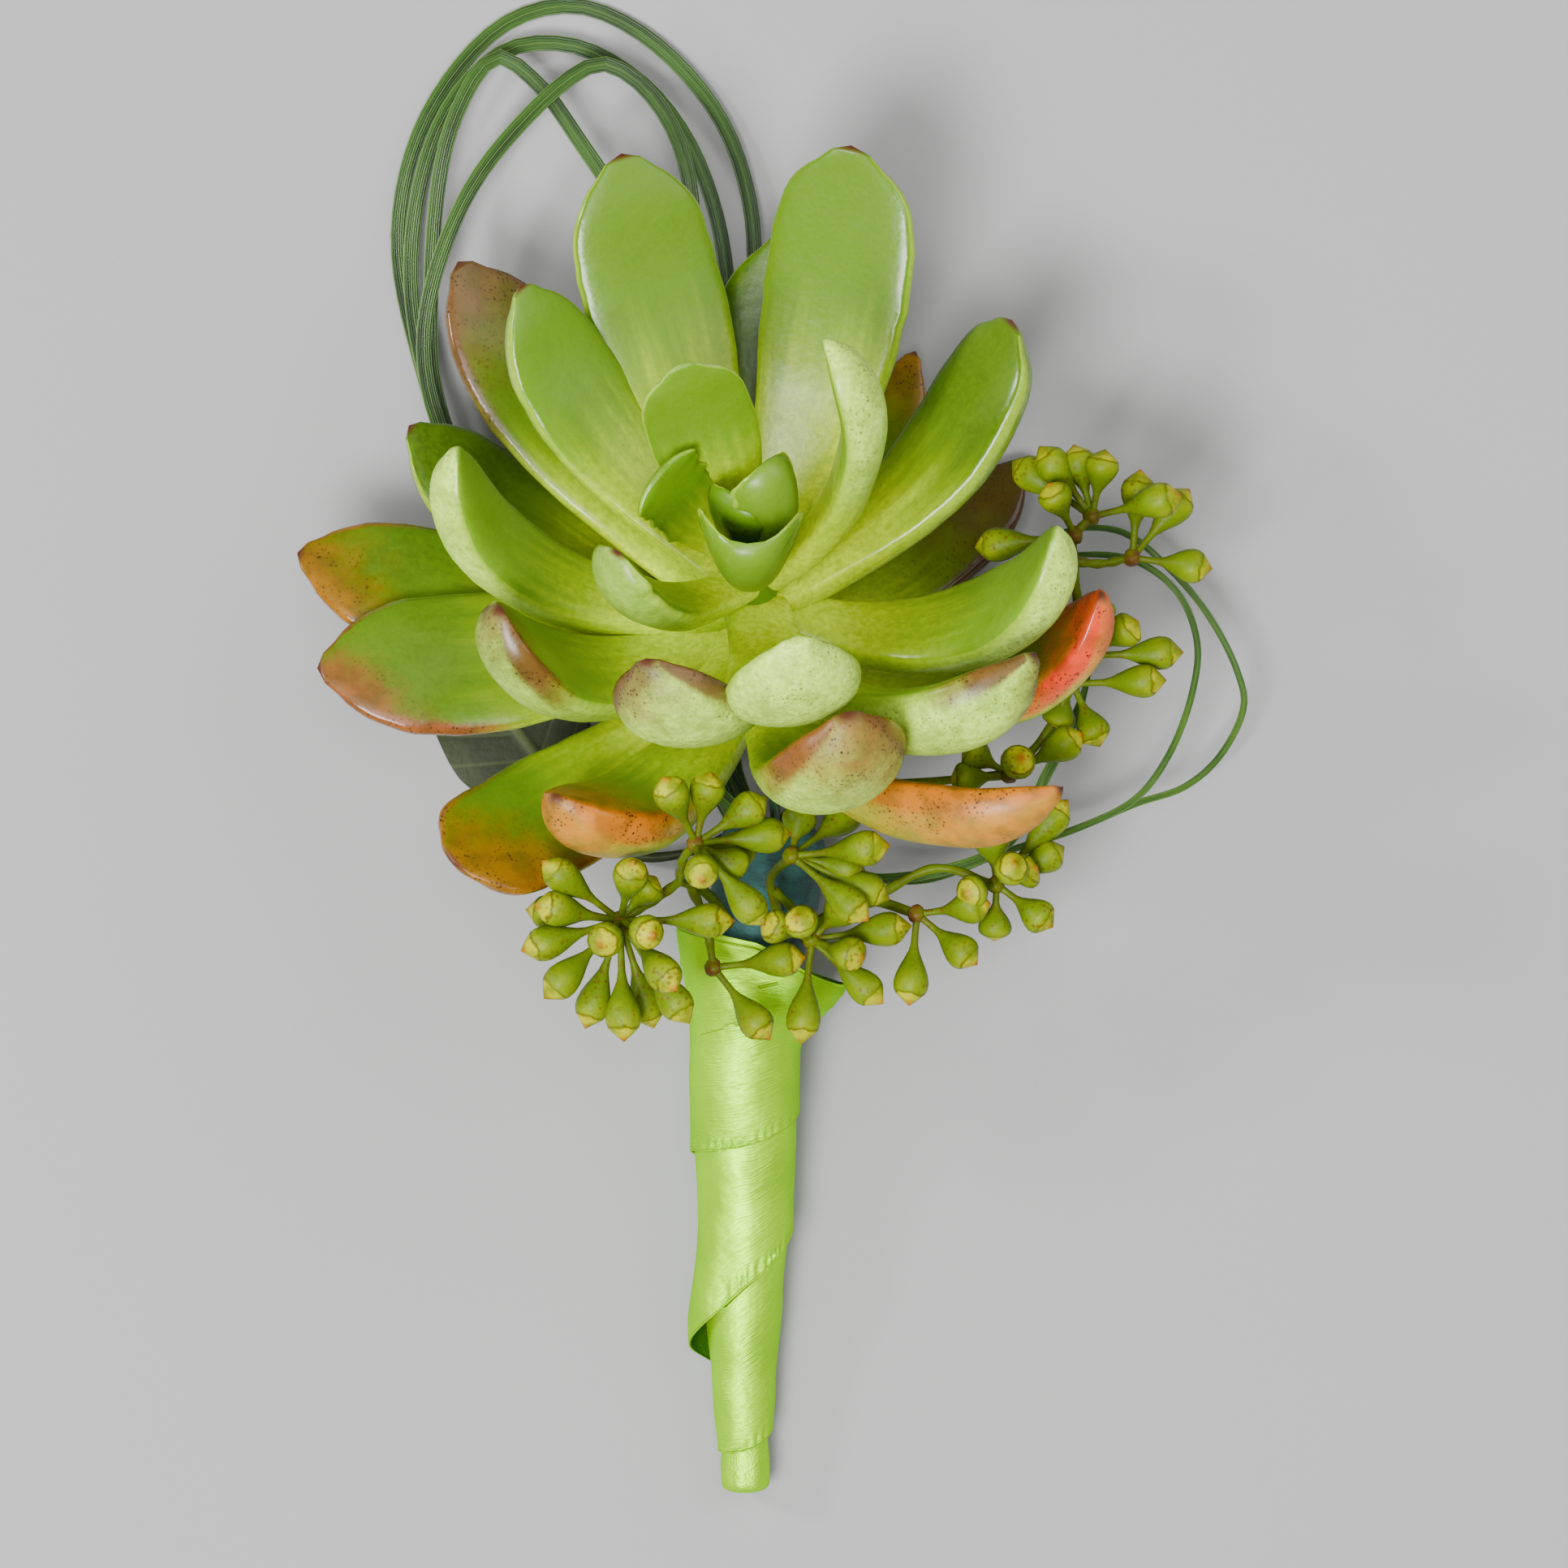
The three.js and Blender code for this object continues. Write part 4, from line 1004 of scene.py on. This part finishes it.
def ribbon_point(quarters, across, width, cloth):
    """A point of the ribbon, that many quarter turns up the handle and that share across it."""
    angle = quarters * math.pi / 2
    right = max(0, -math.cos(angle)) ** 1.5
    left = max(0, math.cos(angle)) ** 1.5
    front = max(0, math.sin(angle)) ** 2
    behind = max(0, -math.sin(angle)) * min(1, 3 * right)
    edge = ribbon_edge(quarters)
    quarter_arc = (tape_girth(edge / HANDLE_LINE.length) + CLEARANCE) * math.pi / 2
    rise = (ribbon_edge(quarters + 0.1) - ribbon_edge(quarters - 0.1)) / 0.2
    slanted = width / math.cos(math.atan2(rise, quarter_arc))
    covered = ribbon_edge(quarters + 4) + 1 - edge  # it always reaches under the next turn
    top = (RIBBON_TOP - RIBBON_SLANT * (right + 0.6 * behind)) * HANDLE_LINE.length
    share = (edge + across * min(max(slanted, covered), top - edge)) / HANDLE_LINE.length
    arc = quarters * quarter_arc
    lip = RIBBON_LIP * lerp(1, LIP_AT_TOP, smooth(quarters, 11, 12))
    lip *= lerp(LIP_AT_FOOT, 1, smooth(quarters, 2, 3.6))
    middle, reach, depth = POCKET
    pocket = depth * bump(quarters, middle, reach) * smooth(across, 0.42, 0)
    pucker = sum(depth * bump(quarters, middle, reach) for middle, reach, depth in PUCKERS)
    pucker *= bump(across, 0.03, 0.026) * math.sin(arc * 7.4 + 2 * math.sin(arc * 1.7))
    drape = sum(
        depth * noise.noise(Vector((arc * along, across * over, place)))
        for depth, along, over, place in DRAPES
    )
    layers = RIBBON_LAYERS * lerp(0.65, 1, smooth(share, 0.02, 0.3))
    radius = tape_girth(share) + CLEARANCE + layers + cloth + drape
    radius += lip * (1 - across) ** 1.3 + pocket - pucker
    flare = smooth((share + RIBBON_SLANT * right) / RIBBON_TOP, 0.86, 1)
    radius += flare * (FLARE_RIGHT * right + FLARE_LEFT * left + FLARE_FRONT * front)
    middle, side, up = HANDLE_LINE.frame(share)
    return middle - side * math.cos(angle) * radius + up * math.sin(angle) * radius


def wrong_side_and_shade(vertex):
    """Share of painted shade on the cloth's inner face, which is also its duller wrong side: all of
    it low down, where the face stands away from the turn below, and a quarter of it higher up.
    """
    share = (vertex.co.y - HANDLE_LINE.at(0).y) / HANDLE_LINE.length
    outward = vertex.co - HANDLE_LINE.at(min(1, share))
    inner = vertex.normal.dot(outward.normalized()) < -0.2
    return lerp(0.25, 1, smooth(share, 0.6, 0.35)) if inner else 0


def wound_ribbon(width, cloth):
    """The ribbon wound up the handle, one strip that laps over itself, as a closed sheet."""
    turns = len(RIBBON_EDGE) - 1 - RIBBON_START  # in quarters
    along, over = STRIP_CUTS
    deselect()
    bpy.ops.mesh.primitive_grid_add(x_subdivisions=along, y_subdivisions=over, size=1)
    strip = newest("satin_strip")
    for vertex in strip.data.vertices:
        quarters = RIBBON_START + (vertex.co.x + 0.5) * turns
        across = (vertex.co.y + 0.5) ** 1.6
        vertex.co = ribbon_point(quarters, across, width, cloth)
    only(strip)
    bpy.ops.object.mode_set(mode="EDIT")
    bpy.ops.mesh.select_all(action="SELECT")
    bpy.ops.mesh.normals_make_consistent(inside=False)
    bpy.ops.object.mode_set(mode="OBJECT")
    finished(strip, "SOLIDIFY", thickness=cloth, offset=0)
    # The inward faces are kept for the material, which paints shade on them.
    return mark(strip, "inside", "FLOAT", wrong_side_and_shade)


def folded_end():
    """The ribbon folded over the cut ends before it is wound: a soft cap with rounded corners."""
    cap = straight_tube(48, 40)
    reach = FOLD_REACH / HANDLE_LINE.length
    for vertex in cap.data.vertices:
        vertex.co.y = max(0, vertex.co.y) ** 1.9  # closer rings towards the corners

    def section(side, rise, t):
        layers = RIBBON_LAYERS * lerp(0.95, 0.4, smooth(t, 0.05, 0.3))
        corner = 1 - max(0, 1 - t / 0.045) ** 3
        crease = 0.1 * noise.noise(Vector((side * 2, t * 6, rise * 2)))
        girth = tape_girth(reach * t) + CLEARANCE + layers
        girth *= max(0, corner) ** 0.4 * (1 + 0.5 * crease)
        return side * girth, rise * girth

    return lay_along(cap, HANDLE_LINE, section, 0, reach)


def satin_skin(look):
    """Lime satin: long smooth floats that run with the ribbon, and a close-woven selvage."""

    def fields(tree):
        u, v, _ = split(Field(add(tree, "UVMap", uv_map="UVMap").outputs[0]))
        edge = abs(v - 0.5)
        body = mottled(tree, look.ribbon_lime, look.ribbon_shade, 110, 0.7)
        body = mixed(edge.step(0.466, 0.474) * 0.4, body, look.ribbon_light)
        floats = cloud(tree, 1, 2, vector(u * 60, v * 130, 0))
        groove = abs(edge - 0.462).step(0.009, 0)
        return {
            # Painted shade: dark green on the inner face, which is also the satin's duller wrong
            # side.
            "Base_Color": mixed(kept(tree, "inside"), body, look.ribbon_dull_and_shade),
            "Normal": relief(cloud(tree, 200) * 5 + floats - groove * 2.5, 0.00008),
        }

    return skin(
        "lime_satin", fields, Metallic=0.7, Roughness=0.47, Specular_Tint=(0.5, 1, 0.1),
        Specular_IOR_Level=0.05,
    )


# ---------------------------------------------------------------- grasses
# Each lily-grass loop is one long blade doubled over, both its ends bound in together.
LILY_LOOPS = {
    "lily_grass_loop_1": (236, [
        (-6, 0, 4.2), (-18, 12, 2.6), (-30, 24, 2.4), (-35.7, 39.1, 2.2), (-38, 52.2, 1.8),
        (-35.1, 64, 1.2), (-27.5, 73.2, 0.6), (-20.2, 75.2, 0.45), (-12.9, 72, 0.8),
        (-5.8, 64.3, 1.3), (-2.6, 55.8, 1.8), (-2, 45, 2.2), (-3, 25, 2.4), (-4, 8, 3),
        (-4, -2, 4.4),
    ]),
    "lily_grass_loop_2": (200, [
        (-7.5, 1, 6), (-17, 12, 4.4), (-28, 24, 3.8), (-34.6, 36, 3.7), (-36.6, 50.1, 3.6),
        (-33.3, 63.9, 2.8), (-27, 70.6, 2.2), (-20.1, 71, 2), (-13.6, 67.4, 2.4),
        (-9, 61.8, 2.9), (-5.8, 53.6, 3.4), (-4.4, 42, 3.8), (-5, 25, 4), (-6, 8, 4.6),
        (-5.4, -2, 6.2),
    ]),
    "lily_grass_loop_3": (164, [
        (-8.5, 1, 7.6), (-17, 11, 6), (-27, 22, 5.3), (-33.6, 34, 5.1), (-34.5, 48, 5),
        (-32.4, 63, 4.6), (-28, 69.7, 4.2), (-24, 67.2, 4.3), (-19.5, 61.1, 4.6),
        (-15, 54, 5), (-10, 42, 5.4), (-7.5, 25, 5.6), (-7.6, 8, 6.4), (-6.6, -2, 8),
    ]),
    "lily_grass_loop_4": (128, [
        (-8, -2, 11), (-14, 6, 9), (-24, 19, 7), (-33, 31, 6.6), (-35.2, 40.9, 6.6),
        (-32.6, 52, 6.4), (-27.6, 60.5, 6), (-17.9, 68.9, 5.4), (-14.2, 67.5, 5.5),
        (-10.4, 62.8, 5.8), (-8.4, 56, 6.2), (-8.6, 42, 6.9), (-9.6, 25, 7.2), (-9, 8, 8.4),
        (-6.4, -3, 11),
    ]),
}

# Bear grass: where each fine blade is bound in, its way out on the right, and its width.
BEAR_BLADES = {
    "bear_grass_blade_1": (-14, 0.7, [
        (8, -12.6, 8.2), (15.1, -12.7, 8), (23.2, -10.2, 8), (30.6, -7.8, 8), (36.2, -4.9, 8.5),
        (39.5, -0.5, 9), (41.9, 6, 9), (42.3, 10.9, 9), (40.3, 15.8, 9), (35.8, 19, 9),
        (28.5, 19.3, 9), (23, 17.4, 9.4),
    ]),
    "bear_grass_blade_2": (-50, 0.7, [
        (8, -12.8, 6), (15.1, -13.1, 6.4), (23.3, -10.2, 6.4), (30.6, -7.8, 6.5),
        (36.3, -5.4, 6.9), (41.2, -3.7, 7), (44.8, -0.5, 7), (47.1, 4.4, 7), (46.5, 7.7, 7),
        (43.6, 13.4, 7), (39.5, 18.3, 7), (34.7, 21.9, 7), (29, 21.9, 7), (23, 19, 7.4),
    ]),
    "bear_grass_blade_3": (22, 1.1, [
        (8, -13, 10), (15.9, -12.3, 9.8), (23.2, -9.4, 10), (27.2, -2.5, 11),
        (30.4, 4.2, 12.4), (31.6, 8.6, 13.4),
    ]),
}


GRASS_FACE, GRASS_GROOVE, GRASS_KEEL = 0.42, 0.3, 0.5  # shares of a blade's depth


def grass_blade(name, points, width, depth, cuts, tip=1, twist=0):
    """A blade with a shallow groove along its face and a keel below, turning a little as it
    goes."""
    blade = mark_grown(straight_tube(12, cuts))
    taper = profile([(0, 1), (0.85, 1), (1, tip)])

    def section(side, rise, t):
        across = side * width / 2 * taper(t)
        face = depth * (GRASS_FACE * rise - GRASS_GROOVE * (1 - abs(side)))
        lift = face if rise > 0 else GRASS_KEEL * depth * rise
        turn = twist * math.sin(t * 9 + width * 40)
        return (
            across * math.cos(turn) - lift * math.sin(turn),
            across * math.sin(turn) + lift * math.cos(turn),
        )

    return named(lay_along(blade, Route(points), section, 0.004, 0.996), name)


def grass_skin(name, green, dark, pale):
    """A grass blade: fine ribs along it, darker stretches, and painted highlights: a pale edge and
    a pale middle line.
    """

    def fields(tree):
        along, side, _ = grown(tree)
        edge = abs(side)
        stretches = cloud(tree, 1, 3, vector(along * 14, side, 0)).step(0.35, 0.65)
        # Painted highlight: a paler middle line and paler edges.
        paler = edge.step(0.12, 0) * 0.5 + edge.step(0.86, 1, 0, 0.6)
        return {
            "Base_Color": mixed(paler, mixed(stretches, dark, green), pale),
            "Normal": relief(calc("SINE", side * 22), 0.00004),
        }

    return skin(name, fields, Roughness=0.38, Specular_IOR_Level=0.5)


# ---------------------------------------------------------------- backing leaf
BACKING_STALK = [
    (-2.4, -8.2, 4.4), (-8, -10.2, 2.2), (-13.6, -10.8, 1), (-17.2, -9.2, 0.6), (-20, -5.8, 0.5),
]
BACKING_MIDRIB = [(-17.2, -9.2, 0.3), (-21.2, -4.4, 0.3), (-28, 4.4, 0.3), (-36.6, 15.4, 0.3)]
BACKING_WIDTH = 15
VEINS = 9  # to each side of the midrib
VEIN_LEAN = 0.16  # how much further along a vein ends than it starts
VEIN_DEPTH = 0.07
RIB_HEIGHT = 0.18
BACKING_THICK = 0.35
BACKING_WAVE = 0.25  # height of the waves along its edges


def backing_blade():
    """A broad thin blade with sunken side veins, a raised midrib and gently waved edges."""
    deselect()
    bpy.ops.mesh.primitive_grid_add(x_subdivisions=48, y_subdivisions=110, size=1)
    blade = newest("leaf_blade")
    for vertex in blade.data.vertices:
        vertex.co = (vertex.co.x * 2, vertex.co.y + 0.5, 0)
    mark_grown(blade)
    outline = profile([(0, 0.05), (0.45, 1), (0.75, 0.78), (1, 0.01)])

    def section(side, rise, t):
        edge = abs(side)
        wave = BACKING_WAVE * edge**2 * (1 + math.sin(t * 17 + side * 2.5))
        near = 0.5 + 0.5 * math.cos(2 * math.pi * VEINS * (t - VEIN_LEAN * edge))
        rib = RIB_HEIGHT * bump(edge, 0, 0.12)
        lift = 0.08 + wave + rib - VEIN_DEPTH * near**6 * (1 - edge)
        return side * BACKING_WIDTH / 2 * outline(t), lift

    lay_along(blade, Route(BACKING_MIDRIB), section)
    finished(blade, "SOLIDIFY", thickness=BACKING_THICK, offset=0)
    return blade


def backing_skin(look):
    """Dull dark grey-green, with a paler midrib and side veins."""

    def fields(tree):
        along, side, _ = grown(tree)
        edge = abs(side)
        wave = calc("COSINE", (along - edge * VEIN_LEAN) * (2 * math.pi * VEINS))
        veins = calc("MAXIMUM", wave.step(0.86, 1, 0, 0.35), edge.step(0.09, 0.02))
        body = mottled(tree, look.backing_green, look.backing_dark, 240, 0.7)
        return {
            "Base_Color": mixed(veins, body, look.backing_rib),
            "Normal": relief(cloud(tree, 1100, 4), 0.0001),
        }

    return skin("backing_leaf_skin", fields, Roughness=0.6, Specular_IOR_Level=0.25)


# ---------------------------------------------------------------- sizes and colours a user changes
def measure(name, description, millimetres):
    return FloatProperty(
        name=name, description=description, default=millimetres * MM, min=0, unit="LENGTH",
        precision=5,
    )


def tint(name, description, color):
    return FloatVectorProperty(
        name=name, description=description, default=color, min=0, max=1, subtype="COLOR"
    )


def power(name, watts):
    return FloatProperty(name=name, description="Power", default=watts, min=0, unit="POWER")


class RosetteLook(bpy.types.PropertyGroup):
    growing_tip: FloatVectorProperty(
        name="Growing tip", description="Where the plant grows from, in the drawing's place",
        default=(-2.1 * MM, 18.5 * MM, 26 * MM), subtype="TRANSLATION", unit="LENGTH", precision=5,
    )
    lean: FloatProperty(
        name="Lean", description="Of the plant's axis, from straight up towards the head",
        default=math.radians(42), subtype="ANGLE",
    )
    stem_length: measure("Stem length", "Of the short stem under the leaves", 18)
    stem_radius: measure("Stem radius", "Of the short stem under the leaves", 3.2)
    # Painted glow: a real yellow-green, made brighter for the light that shines through the leaf's
    # base.
    leaf_base_and_glow: tint("Leaf base and glow", "Yellow-green where a leaf leaves the stem", (0.62, 0.78, 0.003))
    leaf_green: tint("Leaf green", "Of a fresh blade", (0.1, 0.225, 0.0004))
    leaf_deep: tint("Deep green", "Of older and shaded blades", (0.04, 0.085, 0.0002))
    leaf_shade: tint("Leaf patches", "Darker patches in the green", (0.075, 0.165, 0.0003))
    # Painted shade in the heart's hollow, on the roots of the youngest leaves, along with their own
    # darker green.
    leaf_heart_shade: tint("Heart green and shade", "At the roots of the youngest leaves", (0.014, 0.065, 0.0003))
    # Partly the leaf's real pale margin, partly painted highlight along the edge.
    leaf_rim_and_highlight: tint("Rim", "Thin pale edge of a blade", (0.42, 0.6, 0.03))
    leaf_gloss: FloatProperty(
        name="Leaf gloss", description="Roughness of the bare wax", default=0.35
    )
    leaf_powder: tint("Powder", "Pale bloom on the undersides and rims", (0.58, 0.86, 0.1))
    leaf_speck: tint("Specks", "Fine dark specks", (0.04, 0.018, 0.003))
    leaf_point: tint("Point", "The hard point at a leaf's tip", (0.08, 0.02, 0.008))


class EucalyptusLook(bpy.types.PropertyGroup):
    fatness: FloatProperty(
        name="Bud stoutness", description="Of every bud", default=0.93, min=0.5, max=1.2
    )
    knot_brown: tint("Knot", "Knots and the points of the caps", (0.1, 0.04, 0.008))
    stalk_olive: tint("Stalk", "Stems and stalks", (0.075, 0.1, 0.002))
    bud_green: tint("Bud green", "Of the cup near its stalk", (0.09, 0.15, 0))
    bud_yellow: tint("Bud yellow", "Of the cup near its rim", (0.19, 0.25, 0))
    bud_rim: tint("Rim line", "Where cap meets cup", (0.07, 0.06, 0))
    bud_tip: tint("Cap point", "Of the hard point", (0.34, 0.12, 0))
    bud_cap: tint("Cap", "Of the pointed cap", (0.4, 0.4, 0))


class GrassLook(bpy.types.PropertyGroup):
    lily_width: measure("Lily grass width", "Of a blade", 1.6)
    lily_depth: measure("Lily grass depth", "Of a blade, with its keel", 0.8)
    bear_depth: measure("Bear grass depth", "Of a fine blade", 0.62)
    lily_green: tint("Lily green", "Of the looped blades", (0.04, 0.11, 0.01))
    lily_dark: tint("Lily dark", "Darker stretches of the loops", (0.012, 0.035, 0.005))
    # Painted highlight along the edges and middle of the looped blades.
    lily_highlight: tint("Lily edge highlight", "Edges and middle line", (0.12, 0.22, 0.03))
    bear_green: tint("Bear green", "Of the fine blades", (0.085, 0.2, 0.02))
    bear_dark: tint("Bear dark", "Darker stretches of the fine blades", (0.035, 0.1, 0.015))
    # Painted highlight along the edges and middle of the fine blades.
    bear_highlight: tint("Bear edge highlight", "Edges of the fine blades", (0.19, 0.3, 0.04))
    backing_green: tint("Backing leaf", "Of the broad leaf", (0.022, 0.03, 0.008))
    backing_dark: tint("Backing patches", "Darker patches", (0.01, 0.015, 0.005))
    backing_rib: tint("Backing rib", "Midrib and veins", (0.06, 0.08, 0.025))


class BindingLook(bpy.types.PropertyGroup):
    ribbon_width: measure("Ribbon width", "Five-eighths of an inch", 16)
    ribbon_length: measure("Ribbon length", "Of the strip before it is wound", 160)
    ribbon_cloth: measure("Cloth", "Thickness of the satin", 0.22)
    wire_radius: measure("Wire radius", "Of the florist's wire", 0.5)
    ribbon_lime: tint("Lime", "Of the satin", (0.38, 0.8, 0))
    ribbon_shade: tint("Lime shade", "Slightly deeper patches", (0.29, 0.65, 0))
    # Painted shade: dark green for the satin's inner face, which is duller and lies in shade.
    ribbon_dull_and_shade: tint("Dull side and shade", "Inner face of the satin", (0.06, 0.2, 0.002))
    ribbon_light: tint("Selvage", "Of the woven edge", (0.42, 0.8, 0))
    tape_teal: tint("Tape", "Of the crepe tape", (0.02, 0.1, 0.09))
    tape_dark: tint("Tape shade", "Darker creases", (0.008, 0.035, 0.035))
    wire_green: tint("Wire", "Enamel", (0.03, 0.09, 0.04))


class StageLook(bpy.types.PropertyGroup):
    floor: tint("Floor", "Plain pale floor", (0.31, 0.31, 0.31))
    key_power: power("Key light", 15)
    top_power: power("Top light", 5)
    fill_power: power("Fill light", 3)
    rim_power: power("Rim light", 3.5)
    sky: FloatProperty(name="Surroundings", description="Brightness all round", default=0.2, min=0)


# ---------------------------------------------------------------- operators
CAMERA_PLACE = (0.5 * MM, -3.89 * MM, 0.881)
CAMERA_LENS, CAMERA_SENSOR = 200, 36
FLOOR_SIZE = 4
# Each light: where it is, how wide, and which of the stage's powers it has.
LIGHTS = [
    ((-0.22, -0.3, 0.85), 0.34, "key_power"),
    ((0.02, 0.06, 1.05), 0.5, "top_power"),
    ((-0.6, 0.2, 0.45), 0.12, "rim_power"),
    ((0.5, 0.3, 0.5), 0.6, "fill_power"),
]


def growing(plant):
    """Where the plant grows from, and the direction of its axis."""
    return Vector(plant.growing_tip) / MM, Vector((0, math.sin(plant.lean), math.cos(plant.lean)))


class BOUTONNIERE_OT_effects(bpy.types.Operator):
    """Make the shared surface effects: mottling and freckles"""

    bl_idname = "boutonniere.effects"
    bl_label = "Surface Effects"

    def execute(self, context):
        mottle_group()
        freckle_group()
        return {"FINISHED"}


class BOUTONNIERE_OT_rosette(bpy.types.Operator):
    """Grow the waxy rosette leaf by leaf on its stem"""

    bl_idname = "boutonniere.rosette"
    bl_label = "Rosette"

    def execute(self, context):
        look = context.scene.rosette_look
        growing_tip, axis = growing(look)
        blank = leaf_blank()
        leaves = [
            curl_leaf(copy_of(blank), shape, number, growing_tip, axis)
            for number, shape in enumerate(ROSETTE_LEAVES)
        ]
        thrown_away(blank)
        stem = rosette_stem(growing_tip, axis, look.stem_length / MM, look.stem_radius / MM)
        rosette = joined([*leaves, stem], "waxy_rosette")
        set_down(rosette, ["succulent_rosette"], leaf_skin(look))
        return {"FINISHED"}


class BOUTONNIERE_OT_eucalyptus(bpy.types.Operator):
    """Set the four sprays of seeded eucalyptus"""

    bl_idname = "boutonniere.eucalyptus"
    bl_label = "Seeded Eucalyptus"

    def execute(self, context):
        look = context.scene.eucalyptus_look
        blanks = bud_blank(), knot_blank(), mark(straight_tube(10, 30), "ripe", "FLOAT", 0)
        seed = bud_skin(look)
        for node, shape in SPRAYS.items():
            piece = spray(node.replace("eucalyptus", "seeded"), shape, blanks, look.fatness)
            set_down(piece, [node], seed)
        thrown_away(*blanks)
        return {"FINISHED"}


class BOUTONNIERE_OT_grasses(bpy.types.Operator):
    """Loop the lily grass and curl out the bear grass"""

    bl_idname = "boutonniere.grasses"
    bl_label = "Grasses"

    def execute(self, context):
        look = context.scene.grass_look
        lily = grass_skin("lily_blade", look.lily_green, look.lily_dark, look.lily_highlight)
        for node, (bound, points) in LILY_LOOPS.items():
            route = [*bound_blade(bound, AT_TOP), *points, *bound_blade(bound + 7, AT_TOP)[::-1]]
            piece = grass_blade(
                node.replace("loop", "blade"), route, look.lily_width / MM, look.lily_depth / MM,
                260, twist=0.3,
            )
            set_down(piece, [node], lily)
        bear = grass_skin("bear_blade", look.bear_green, look.bear_dark, look.bear_highlight)
        for node, (bound, width, points) in BEAR_BLADES.items():
            piece = grass_blade(
                node.replace("blade", "strand"), [*bound_blade(bound, AT_SIDE), *points],
                width, look.bear_depth / MM, 160, tip=0.4,
            )
            set_down(piece, [node], bear)
        return {"FINISHED"}


class BOUTONNIERE_OT_backing_leaf(bpy.types.Operator):
    """Lay the broad leaf behind the rosette"""

    bl_idname = "boutonniere.backing_leaf"
    bl_label = "Backing Leaf"

    def execute(self, context):
        look = context.scene.grass_look
        blank = mark_grown(straight_tube(10, 30))
        stalk = stem_along(blank, [*bound_blade(272, AT_SIDE), *BACKING_STALK], 0.55, 0.01)
        thrown_away(blank)
        piece = joined([backing_blade(), stalk], "broad_leaf")
        set_down(piece, ["backing_leaf"], backing_skin(look))
        return {"FINISHED"}


class BOUTONNIERE_OT_binding(bpy.types.Operator):
    """Wind the tape round the stems and run the wire into the rosette"""

    bl_idname = "boutonniere.binding"
    bl_label = "Tape and Wire"

    def execute(self, context):
        look, plant = context.scene.binding_look, context.scene.rosette_look
        tape = named(taped_bundle(), "wound_tape")
        set_down(tape, ["floral_tape"], tape_skin(look))
        wire = florist_wire(*growing(plant), plant.stem_length / MM, look.wire_radius / MM)
        set_down(named(wire, "stem_wire"), ["florist_wire"], wire_skin(look))
        return {"FINISHED"}


class BOUTONNIERE_OT_ribbon(bpy.types.Operator):
    """Fold the satin over the cut ends and wind it up the handle"""

    bl_idname = "boutonniere.ribbon"
    bl_label = "Satin Ribbon"

    def execute(self, context):
        look = context.scene.binding_look
        width, cloth = look.ribbon_width / MM, look.ribbon_cloth / MM
        ribbon = joined([wound_ribbon(width, cloth), folded_end()], "lime_ribbon")
        set_down(ribbon, ["satin_ribbon"], satin_skin(look))
        return {"FINISHED"}


class BOUTONNIERE_OT_stage(bpy.types.Operator):
    """Set the camera over the flower, a pale floor and soft lights"""

    bl_idname = "boutonniere.stage"
    bl_label = "Stage"

    def execute(self, context):
        look = context.scene.stage_look
        deselect()
        bpy.ops.object.camera_add(location=CAMERA_PLACE, rotation=(0, 0, 0))
        camera = context.object
        camera.data.lens = CAMERA_LENS
        camera.data.sensor_width = CAMERA_SENSOR
        context.scene.camera = camera
        bpy.ops.mesh.primitive_plane_add(size=FLOOR_SIZE, location=(0, 0, 0))
        floor = newest("floor")
        darker = [0.96 * part for part in look.floor]
        floor.data.materials.append(skin(
            "pale_floor",
            lambda tree: {"Base_Color": mottled(tree, look.floor, darker, 6, 0.5)},
            Roughness=0.8,
        ))
        for place, size, watts in LIGHTS:
            bpy.ops.object.light_add(type="AREA", location=place)
            light = context.object
            light.data.size = size
            light.data.energy = getattr(look, watts)
            light.rotation_euler = (-Vector(place)).to_track_quat("-Z", "Y").to_euler()
        world = context.scene.world or bpy.data.worlds.new("surroundings")
        context.scene.world = world
        world.use_nodes = True
        fill(world.node_tree.nodes["Background"], {"Color": (1, 1, 1), "Strength": look.sky})
        return {"FINISHED"}


class BOUTONNIERE_PT_pieces(bpy.types.Panel):
    """The pieces of the boutonniere, in the order in which they are made"""

    bl_label = "Boutonniere"
    bl_idname = "BOUTONNIERE_PT_pieces"
    bl_space_type = "VIEW_3D"
    bl_region_type = "UI"
    bl_category = "Boutonniere"

    def draw(self, context):
        for operator in OPERATORS:
            self.layout.operator(operator.bl_idname)


OPERATORS = [
    BOUTONNIERE_OT_effects,
    BOUTONNIERE_OT_stage,
    BOUTONNIERE_OT_rosette,
    BOUTONNIERE_OT_eucalyptus,
    BOUTONNIERE_OT_grasses,
    BOUTONNIERE_OT_backing_leaf,
    BOUTONNIERE_OT_binding,
    BOUTONNIERE_OT_ribbon,
]
LOOKS = {
    "rosette_look": RosetteLook,
    "eucalyptus_look": EucalyptusLook,
    "grass_look": GrassLook,
    "binding_look": BindingLook,
    "stage_look": StageLook,
}
CLASSES = [*LOOKS.values(), *OPERATORS, BOUTONNIERE_PT_pieces]


def register():
    for each in CLASSES:
        bpy.utils.register_class(each)
    for name, group in LOOKS.items():
        setattr(bpy.types.Scene, name, PointerProperty(type=group))


def unregister():
    for name in LOOKS:
        delattr(bpy.types.Scene, name)
    for each in reversed(CLASSES):
        bpy.utils.unregister_class(each)


def main():
    register()
    for operator in OPERATORS:
        getattr(bpy.ops.boutonniere, operator.bl_idname.split(".")[1])()


if __name__ == "__main__":
    main()
